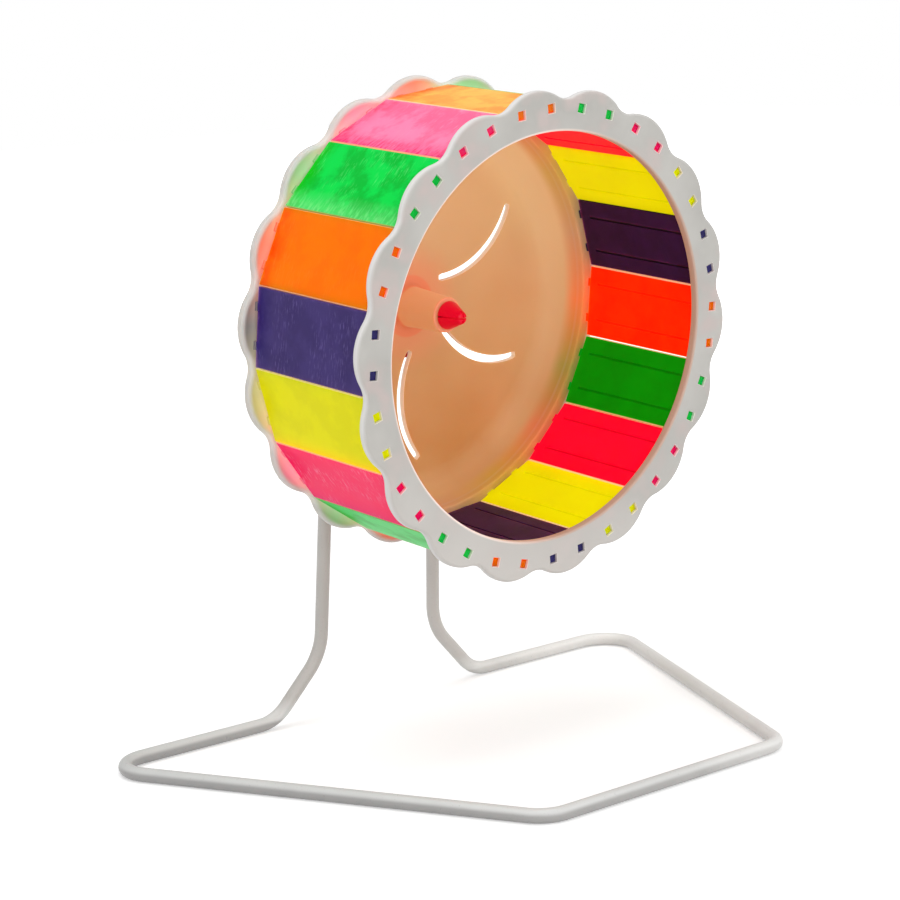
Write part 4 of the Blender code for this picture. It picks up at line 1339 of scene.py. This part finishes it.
    def build(self, matrix: Matrix, plastic: bpy.types.Material, zinc: bpy.types.Material) -> None:
        """Build and dress the bracket.

        Args:
            matrix: From the axle's frame to the world.
            plastic: Finish of the halves and the pin.
            zinc: Finish of the screws.
        """
        parting = FIT_GAP / 2
        centres = self.screw_centres()
        room = self.wire_room(matrix)
        bore = self.shank + FIT_GAP
        seat = self.half - self.screw_head_height - 2 * FIT_GAP
        pocket = self.screw_head + FIT_GAP
        collar = [(0, -self.half + CUT_OVERRUN), (self.collar_radius, -self.half + CUT_OVERRUN)]
        collar += [(self.collar_radius - inset, self.collar_face + depth)
                   for inset, depth in reversed(rounding(self.edge, self.edge_steps))]
        collar.append((0, self.collar_face))
        pilot_end = -parting - self.bite - FIT_GAP
        pilots = [(0, pilot_end), (bore, pilot_end), (bore, CUT_OVERRUN), (0, CUT_OVERRUN)]
        pockets = [(0, -CUT_OVERRUN), (bore, -CUT_OVERRUN), (bore, seat), (pocket, seat),
                   (pocket, self.half + CUT_OVERRUN), (0, self.half + CUT_OVERRUN)]
        plate = boolean("axle_plate", self.plate("plate", -self.half, -parting), [
            ("UNION", self.turned("collar", collar, self.pin_sides)),
            ("DIFFERENCE", room),
            ("DIFFERENCE", self.turned("pilots", pilots, self.screw_sides, centres))])
        cover = boolean("clamp_cover", self.plate("cover", parting, self.half), [
            ("DIFFERENCE", room),
            ("DIFFERENCE", self.turned("pockets", pockets, self.screw_sides, centres))])
        screws = run_tree(screws_tree(), self.screw_mesh(), "clamp_screws", {
            "Span": 2 * self.screw_half_span, "Rise": self.screw_top + self.screw_bottom,
            "Middle": (self.screw_top - self.screw_bottom) / 2, "Material": zinc})
        for mesh, name, node in ((plate, "bracket_plate", "axle_plate"),
                                 (self.pin_mesh(), "snap_pin", "axle_plate"),
                                 (cover, "bracket_cover", "clamp_cover")):
            place_piece(mesh, name, plastic, matrix, "stand", [node])
        place_piece(screws, "bracket_screws", zinc, matrix, "stand",
                    [f"clamp_screw_{number}" for number in range(1, 5)])


# Wheel

@dataclass
class ScallopedRim:
    """What the front ring and the rear disc share: the scalloped outline and the tab holes."""

    tip_radius: float = 0.0850
    lobe_radius: float = 0.0182
    valley_radius: float = 0.009152
    thickness: float = 0.0033
    edge: float = 0.0011
    tab_size: float = 0.0029
    tab_offset: float = 0.0067
    tab_centre: float = 0.07815
    tab_swell: float = 0.00008
    tab_gap: float = 0.00016
    hole_lip: float = 0.00012
    hole_margin: float = 0.0006
    lobe_steps: int = 18
    valley_steps: int = 6

    def outline(self, inset: float) -> Outline:
        """One lobe at each plank's middle and a round valley at each seam, drawn in by an inset."""
        half = PITCH / 2
        lobe_centre = self.tip_radius - self.lobe_radius
        apart = self.lobe_radius + self.valley_radius
        sideways = lobe_centre * math.sin(half)
        valley_centre = lobe_centre * math.cos(half) + math.sqrt(apart ** 2 - sideways ** 2)
        lobe_turn = math.atan2(valley_centre * math.sin(half), valley_centre * math.cos(half) - lobe_centre)
        corners = []
        for index in range(len(PLANK_DYES)):
            middle = PITCH * index
            for step in range(self.lobe_steps + 1):
                turn = middle + lobe_turn * (2 * step / self.lobe_steps - 1)
                corners.append(spoke(middle, lobe_centre) + spoke(turn, self.lobe_radius - inset))
            seam = middle + half
            for step in range(1, self.valley_steps):
                turn = seam + math.pi + (lobe_turn - half) * (1 - 2 * step / self.valley_steps)
                corners.append(spoke(seam, valley_centre) + spoke(turn, self.valley_radius + inset))
        return corners

    def matching_circle(self, radius: float) -> Outline:
        """Round outline with a corner at the same angle as each of the scalloped outline's."""
        return [spoke(math.atan2(point.x, point.z), radius) for point in self.outline(0.0)]

    def hole_cutter(self, face: float, far: float) -> bpy.types.Mesh:
        """Cutter for two tab holes, whose edge has a small lip on the face.

        Args:
            face: Place of the face that shows, along the axle.
            far: Place of the other face.

        Returns:
            The cutter, at the top of the wheel.
        """
        shell = Shell()
        out = 1 if face > far else -1
        for side in (-1, 1):
            half = self.tab_size / 2 + self.tab_gap
            loops = []
            for grow, place in ((self.hole_lip * 2, face + out * self.hole_lip),
                                (0.0, face - out * self.hole_lip), (0.0, far - out * CUT_OVERRUN)):
                corners = square(half + grow, side * self.tab_offset, 0.0, self.tab_centre)
                loops.append(shell.loop(corners, place))
            shell.bridge(loops)
            shell.mesh.faces.new(loops[0])
            shell.mesh.faces.new(loops[-1])
        return shell.finish("hole_cutter")

    def all_round(self, cutter: bpy.types.Mesh, count: int, first_turn: float = 0.0) -> bpy.types.Mesh:
        """Copies of a cutter all round the axle."""
        return run_tree(copies_tree(), cutter, "cutters", {
            "Count": count, "First Turn": first_turn, "Picked": -1})


def mark_cuts(mesh: bpy.types.Mesh, low: float, high: float) -> None:
    """Mark the walls of holes and slots, whose thin edges let light through.

    Args:
        mesh: The moulding's mesh, in the wheel's frame.
        low: Smallest radius of the marked faces.
        high: Largest radius of the marked faces.
    """
    marks = mesh.attributes.new("cut", "FLOAT", "FACE")
    values = []
    for face in mesh.polygons:
        radius = math.hypot(face.center.x, face.center.z)
        values.append(1.0 if low < radius < high and abs(face.normal.y) < WALL_LEAN else 0.0)
    marks.data.foreach_set("value", values)


@dataclass
class FrontRing:
    """Scalloped ring round the wheel's open mouth."""

    rim: ScallopedRim
    mouth_radius: float = 0.0706
    mouth_edge: float = 0.0008
    front: float = -0.0919
    back: float = -0.0886

    def build(self, matrix: Matrix, plastic: bpy.types.Material) -> None:
        """Build the ring, dress it in its plastic and put it in place with a matrix."""
        shell = Shell()
        outer = [shell.loop(self.rim.outline(inset), depth)
                 for inset, depth in plate_levels(self.rim.edge, self.front, self.back)]
        mouth = [shell.loop(self.rim.matching_circle(self.mouth_radius + inset), depth)
                 for inset, depth in reversed(plate_levels(self.mouth_edge, self.front, self.back))]
        shell.bridge(outer + mouth + outer[:1])
        cutter = self.rim.all_round(self.rim.hole_cutter(self.front, self.back), len(PLANK_DYES))
        mesh = boolean("front_ring_shell", shell.finish("front_ring"), [("DIFFERENCE", cutter)])
        hole_top = self.rim.tab_centre + self.rim.tab_size / 2 + self.rim.hole_margin
        mark_cuts(mesh, self.mouth_radius + 2 * self.rim.tab_size, hole_top)
        place_piece(mesh, "front_ring_shell", plastic, matrix, "wheel", ["front_ring"])


@dataclass
class RearDisc:
    """Scalloped flange, dished wall, slotted flat disc and hub boss in one moulding."""

    rim: ScallopedRim
    mouth_radius: float = 0.0742
    mouth_edge: float = 0.0007
    mouth_steps: int = 4
    dish_depth: float = 0.0137
    thickness: float = 0.0012
    slot_wall: float = 0.0021
    seat_radius: float = 0.0125
    flat_radius: float = 0.0620
    flange_front: float = -0.0293
    disc_front: float = -0.0156
    boss_front: float = -0.03695
    boss_tip: float = 0.0064
    boss_root: float = 0.0074
    boss_fillet: float = 0.0015
    fillet_steps: int = 5
    boss_edge: float = 0.0005
    boss_edge_turns: tuple[float, ...] = (0.4, 0.8, 1.2, math.pi / 2)
    bore: float = 0.0045
    slot_count: int = 6
    slot_arc: float = 0.03546
    slot_centre: float = 0.0465
    slot_turn: float = math.radians(4.0)
    slot_inner_angle: float = math.radians(162)
    slot_sweep: float = math.radians(70.4)
    slot_middle_half: float = 0.0015
    slot_end_half: float = 0.0012
    slot_end_rounding: float = 0.0004
    slot_lip: float = 0.00015
    dish_steps: int = 14
    slot_steps: int = 32

    def front_levels(self) -> list[Level]:
        """Radius and place of each loop on the front, from the flange's face to the boss's tip."""
        radial = self.mouth_radius - self.flat_radius
        start = math.asin(self.mouth_edge / self.dish_depth)
        levels = [(self.mouth_radius + self.mouth_edge + SUPPORT, self.flange_front)]
        levels += [(self.mouth_radius + inset, self.flange_front + depth)
                   for inset, depth in rounding(self.mouth_edge, self.mouth_steps)[:-1]]
        levels += self.quarter(start, radial, self.dish_depth)
        levels.append((self.flat_radius - SUPPORT, self.disc_front))
        levels.append((self.boss_root + self.boss_fillet + SUPPORT, self.disc_front))
        levels += [(self.boss_root + inset, self.disc_front - depth)
                   for inset, depth in rounding(self.boss_fillet, self.fillet_steps)]
        levels.append((self.boss_tip, self.boss_front + self.boss_edge))
        levels += [(self.boss_tip - self.boss_edge * (1 - math.cos(turn)),
                    self.boss_front + self.boss_edge * (1 - math.sin(turn))) for turn in self.boss_edge_turns]
        return levels

    def quarter(self, start: float, radial: float, depth: float) -> list[Level]:
        """Quarter of an ellipse, from the dish's mouth to the flat disc."""
        turns = [start + (math.pi / 2 - start) * step / self.dish_steps
                 for step in range(self.dish_steps + 1)]
        return [(self.flat_radius + radial * math.cos(turn), self.flange_front + depth * math.sin(turn))
                for turn in turns]

    def back_levels(self) -> list[Level]:
        """Radius and place of each loop on the back, from the flange's back face to the bore."""
        back = self.disc_front + self.thickness
        radial = self.mouth_radius - self.flat_radius + self.slot_wall
        depth = self.dish_depth + self.slot_wall
        seat = [(self.seat_radius + self.slot_wall - self.thickness, self.disc_front + self.slot_wall),
                (self.seat_radius, back), (self.bore + SUPPORT, back), (self.bore, back)]
        return self.quarter(math.asin(self.rim.thickness / depth), radial, depth) + seat

    def slot_cutter(self) -> bpy.types.Mesh:
        """Cutter for the slot nearest the top, a crescent with rounded ends and a small lip."""
        shell = Shell()
        centre = spoke(0.0, self.slot_centre)
        back = self.disc_front + self.slot_wall
        loops = []
        for grow, place in ((2 * self.slot_lip, self.disc_front - self.slot_lip),
                            (0.0, self.disc_front + self.slot_lip), (0.0, back + CUT_OVERRUN)):
            inner, outer = [], []
            for step in range(self.slot_steps + 1):
                share = step / self.slot_steps
                swell = self.slot_middle_half - self.slot_end_half
                half = self.slot_end_half + swell * math.sin(math.pi * share)
                from_end = min(share, 1 - share) * self.slot_sweep * self.slot_arc
                if from_end < self.slot_end_rounding:
                    short = self.slot_end_rounding - from_end
                    half -= self.slot_end_rounding - math.sqrt(self.slot_end_rounding ** 2 - short ** 2)
                turn = self.slot_inner_angle - self.slot_sweep * share
                turn += grow / self.slot_arc * (1 - 2 * share)
                inner.append(centre + spoke(turn, self.slot_arc - half - grow))
                outer.append(centre + spoke(turn, self.slot_arc + half + grow))
            loops.append(shell.loop(inner + outer[::-1], place))
        shell.solid(loops)
        return shell.finish("slot_cutter")

    def build(self, matrix: Matrix, plastic: bpy.types.Material) -> None:
        """Build the disc, dress it in its plastic and put it in place with a matrix."""
        shell = Shell()
        flange_back = self.flange_front + self.rim.thickness
        outer = [shell.loop(self.rim.outline(inset), depth)
                 for inset, depth in reversed(plate_levels(self.rim.edge, self.flange_front, flange_back))]
        front = [shell.loop(self.rim.matching_circle(radius), depth) for radius, depth in self.front_levels()]
        bore = shell.loop(self.rim.matching_circle(self.bore), self.boss_front)
        back = [shell.loop(self.rim.matching_circle(radius), depth)
                for radius, depth in reversed(self.back_levels())]
        shell.bridge(outer + front + [bore] + back + outer[:1])
        holes = self.rim.all_round(self.rim.hole_cutter(flange_back, self.flange_front), len(PLANK_DYES))
        slots = self.rim.all_round(self.slot_cutter(), self.slot_count, self.slot_turn)
        mesh = boolean("rear_disc_shell", shell.finish("rear_disc"), [
            ("DIFFERENCE", slots), ("DIFFERENCE", holes)])
        mark_cuts(mesh, self.boss_root + 2 * self.boss_fillet, self.flat_radius - self.slot_middle_half)
        place_piece(mesh, "rear_disc_shell", plastic, matrix, "wheel", ["rear_disc"])


@dataclass
class PlankSet:
    """The planks of the running track, whose tabs sit in the ring and in the disc."""

    rim: ScallopedRim
    outer: float = 0.0800
    thickness: float = 0.0043
    seam: float = 0.0004
    edge: float = 0.0003
    edge_steps: int = 3
    front: float = -0.0883
    rear: float = -0.0310
    front_gap: float = 0.0003
    rear_gap: float = 0.0017
    tab_recess: float = 0.0008
    tab_edge: float = 0.0003
    groove_width: float = 0.0010
    groove_depth: float = 0.0004
    groove_edge: float = 0.0002
    groove_end: float = 0.0045

    def raised(self, shell: Shell, face: bmesh.types.BMFace, outlines: Sequence[Callable[[float], Outline]],
               levels: Sequence[Level], direction: Vector) -> None:
        """Raise or sink outlines from a flat face.

        Args:
            shell: The plank in the making.
            face: The flat face, which is taken out and filled round the outlines.
            outlines: Functions of the inset that give the outlines.
            levels: Inset and distance of each loop.
            direction: Where the distance goes.
        """
        border = list(face.verts)
        shell.mesh.faces.remove(face)
        feet = []
        for outline in outlines:
            loops = [shell.loop([point + direction * distance for point in outline(inset)])
                     for inset, distance in levels]
            shell.bridge(loops)
            shell.mesh.faces.new(loops[-1])
            feet.append(loops[0])
        shell.fill([border] + feet)

    def tab(self, side: int, depth: float) -> Callable[[float], Outline]:
        """Square outline of a tab, as a function of its inset."""
        def outline(inset: float) -> Outline:
            """Corners of the tab."""
            half = self.rim.tab_size / 2 - inset
            return square(half, side * self.rim.tab_offset, depth, self.rim.tab_centre)
        return outline

    def groove(self, side: int) -> Callable[[float], Outline]:
        """Long outline of a groove in the running face, as a function of its inset."""
        def outline(inset: float) -> Outline:
            """Corners of the groove."""
            half = self.groove_width / 2 - inset
            ends = (self.front + self.groove_end + inset, self.rear - self.groove_end - inset)
            return [Vector((side * self.rim.tab_offset + x * half, ends[end], self.outer - self.thickness))
                    for x, end in ((-1, 0), (1, 0), (1, 1), (-1, 1))]
        return outline

    def plank_mesh(self) -> bpy.types.Mesh:
        """One plank, lying at the top of the wheel."""
        shell = Shell()
        inner = self.outer - self.thickness
        seam = self.seam / 2 / math.cos(PITCH / 2)
        outer_half = self.outer * math.tan(PITCH / 2) - seam
        inner_half = inner * math.tan(PITCH / 2) - seam
        section = [Vector((x, 0, z)) for x, z in ((-outer_half, self.outer), (outer_half, self.outer),
                                                  (inner_half, inner), (-inner_half, inner))]
        loops = [shell.loop(section, depth) for depth in (self.front, self.rear)]
        shell.bridge(loops)
        for loop in loops:
            shell.mesh.faces.new(loop)
        bmesh.ops.recalc_face_normals(shell.mesh, faces=shell.mesh.faces)
        bmesh.ops.bevel(shell.mesh, geom=shell.mesh.edges[:], offset=self.edge, segments=self.edge_steps,
                        profile=0.5, affect="EDGES")
        forward, backward, inward = Vector((0, -1, 0)), Vector((0, 1, 0)), Vector((0, 0, -1))

        def facing(direction: Vector) -> bmesh.types.BMFace:
            """The face that looks most nearly in a direction."""
            return max(shell.mesh.faces,
                       key=lambda face: (round(face.normal.dot(direction), 3), face.calc_area()))

        front, rear, running, outside = (facing(way) for way in (forward, backward, inward, -inward))
        bmesh.ops.inset_individual(shell.mesh, faces=[running, outside], thickness=SUPPORT)
        for face, depth, gap, way in ((front, self.front, self.front_gap, forward),
                                      (rear, self.rear, self.rear_gap, backward)):
            length = gap + self.rim.thickness - self.tab_recess
            swell = self.rim.tab_swell
            levels = [(0.0, 0.0), (0.0, gap), (-swell, gap + swell)]
            levels += [(inset - swell, length - drop)
                       for inset, drop in reversed(rounding(self.tab_edge, self.edge_steps))]
            self.raised(shell, face, [self.tab(-1, depth), self.tab(1, depth)], levels, way)
        levels = [(0.0, 0.0), (0.0, self.groove_depth - self.groove_edge),
                  (self.groove_edge, self.groove_depth)]
        self.raised(shell, running, [self.groove(-1), self.groove(1)], levels, -inward)
        return shell.finish("plank")

    def build(self, matrix: Matrix, plastics: dict[Dye, bpy.types.Material]) -> None:
        """Build each plank, dress it in the plastic of its dye and put it in place with a matrix."""
        plank = self.plank_mesh()
        remember_place(plank)
        tree = copies_tree()
        for index, dye in enumerate(PLANK_DYES):
            number = f"{index + 1:02d}"
            made = run_tree(tree, plank, f"track_plank_{number}", {
                "Count": len(PLANK_DYES), "First Turn": 0.0, "Picked": index, "Material": plastics[dye]})
            place_piece(made, f"track_plank_{number}", plastics[dye], matrix, "wheel",
                        [f"plank_{number}"])


# Studio

@dataclass(frozen=True)
class Softbox:
    """Square soft lamp that points at the middle of the wheel."""

    name: str
    place: tuple[float, float, float]
    size: float
    power: float
    target: tuple[float, float, float] = (0.0, 0.0, 0.13)

    def build(self) -> None:
        """Hang the lamp."""
        data = bpy.data.lights.new(self.name, "AREA")
        data.shape = "SQUARE"
        data.size = self.size
        data.energy = self.power
        place = Vector(self.place)
        turn = (Vector(self.target) - place).to_track_quat("-Z", "Y").to_matrix().to_4x4()
        new_object(self.name, data).matrix_world = Matrix.Translation(place) @ turn


@dataclass
class Studio:
    """White floor, soft lamps and a camera at the photograph's angle."""

    camera_place: tuple[float, float, float] = (-0.57622, -0.64790, 0.25883)
    yaw: float = math.radians(40.388)
    pitch: float = math.radians(9.958)
    roll: float = math.radians(-2.183)
    lens: float = 100.28
    sensor: float = 36.0
    clip: Band = (0.01, 50.0)
    floor_half: float = 4.0
    floor_drop: float = 0.0001
    paper: Tint = ("#E4E4E4", "#E0E0E0")
    fibres: Grain = Grain(1 / 400)
    lift_band: Band = (0.35, 1.2)
    lift: Band = (0.42, 1.0)
    ambient: float = 0.52
    lamps: tuple[Softbox, ...] = (
        Softbox("front_softbox", (-0.3, -1.8, 0.5), 2.0, 21.0),
        Softbox("left_softbox", (-1.7, -0.2, 0.9), 1.4, 6.5),
        Softbox("right_softbox", (1.6, -0.8, 0.8), 1.4, 6.0),
        Softbox("top_softbox", (-0.2, 0.1, 1.9), 1.4, 12.0))

    def camera(self) -> None:
        """Set up the camera."""
        ahead = Vector((math.sin(self.yaw) * math.cos(self.pitch), math.cos(self.yaw) * math.cos(self.pitch),
                        -math.sin(self.pitch)))
        level = Vector((math.cos(self.yaw), -math.sin(self.yaw), 0))
        above = level.cross(ahead)
        right = level * math.cos(self.roll) + above * math.sin(self.roll)
        up = above * math.cos(self.roll) - level * math.sin(self.roll)
        turn = Matrix((right, up, -ahead)).transposed().to_4x4()
        data = bpy.data.cameras.new("photo_camera")
        data.lens = self.lens
        data.sensor_width = self.sensor
        data.clip_start, data.clip_end = self.clip
        camera = new_object("photo_camera", data)
        camera.matrix_world = Matrix.Translation(self.camera_place) @ turn
        bpy.context.scene.camera = camera

    def seen(self, tree: bpy.types.NodeTree, kinds: Sequence[str]) -> Socket:
        """Whether a ray is of one of the kinds given."""
        rays = tree.nodes.new("ShaderNodeLightPath")
        first, *others = (rays.outputs[f"Is {kind} Ray"] for kind in kinds)
        for other in others:
            first = add(tree, "ShaderNodeMath", first, other, operation="MAXIMUM")
        return first

    def floor(self) -> None:
        """Lay the floor, which shows white and keeps the object's shadow."""
        shell = Shell()
        shell.mesh.faces.new(shell.loop([Vector((x * self.floor_half, y * self.floor_half, -self.floor_drop))
                                         for x, y in ((-1, -1), (1, -1), (1, 1), (-1, 1))]))
        paint = Paint("studio_paper", drawn=False)
        paper = add(paint.tree, "ShaderNodeBsdfDiffuse", paint.mix(paint.noise(self.fibres), *self.paper))
        away = add(paint.tree, "ShaderNodeVectorMath", paint.place, operation="LENGTH", out="Value")
        seen = self.seen(paint.tree, ("Camera", "Glossy", "Transmission"))
        lift = paint.math("MULTIPLY", seen, paint.fade(away, self.lift_band, self.lift))
        glow = add(paint.tree, "ShaderNodeEmission", WHITE, lift)
        add(paint.tree, "ShaderNodeOutputMaterial", add(paint.tree, "ShaderNodeAddShader", paper, glow))
        mesh = shell.finish("studio_floor")
        mesh.materials.append(paint.material)
        new_object("studio_floor", mesh)

    def world(self) -> None:
        """White surroundings, which light the object softly and show pure white to the camera."""
        world = bpy.data.worlds.new("studio_world")
        world.use_nodes = True
        tree = world.node_tree
        tree.nodes.clear()
        seen = self.seen(tree, ("Camera", "Transmission"))
        strength = add(tree, "ShaderNodeMapRange", seen, 0.0, 1.0, self.ambient, 1.0)
        add(tree, "ShaderNodeOutputWorld", add(tree, "ShaderNodeBackground", WHITE, strength))
        bpy.context.scene.world = world

    def build(self) -> None:
        """Build the studio."""
        self.camera()
        self.floor()
        self.world()
        for lamp in self.lamps:
            lamp.build()
        bpy.context.scene.view_settings.view_transform = "Standard"


def main() -> None:
    """Build the studio and the wheel, piece by piece."""
    logging.basicConfig(level=logging.INFO, format="%(name)s: %(message)s")
    Studio().build()
    place = AxleFrame()
    stand = WireStand()
    stand.build(CoatedWire().build())
    AxleBracket(stand).build(place.on_stand(), BracketPlastic().build(), ZincSteel().build())
    rim = ScallopedRim()
    FrontRing(rim).build(place.on_wheel(), RingPlastic().build())
    RearDisc(rim).build(place.on_wheel(), DiscPlastic().build())
    PlankSet(rim).build(place.on_wheel(), {finish.dye: finish.build() for finish in PLANK_FINISHES})


if __name__ == "__main__":
    main()
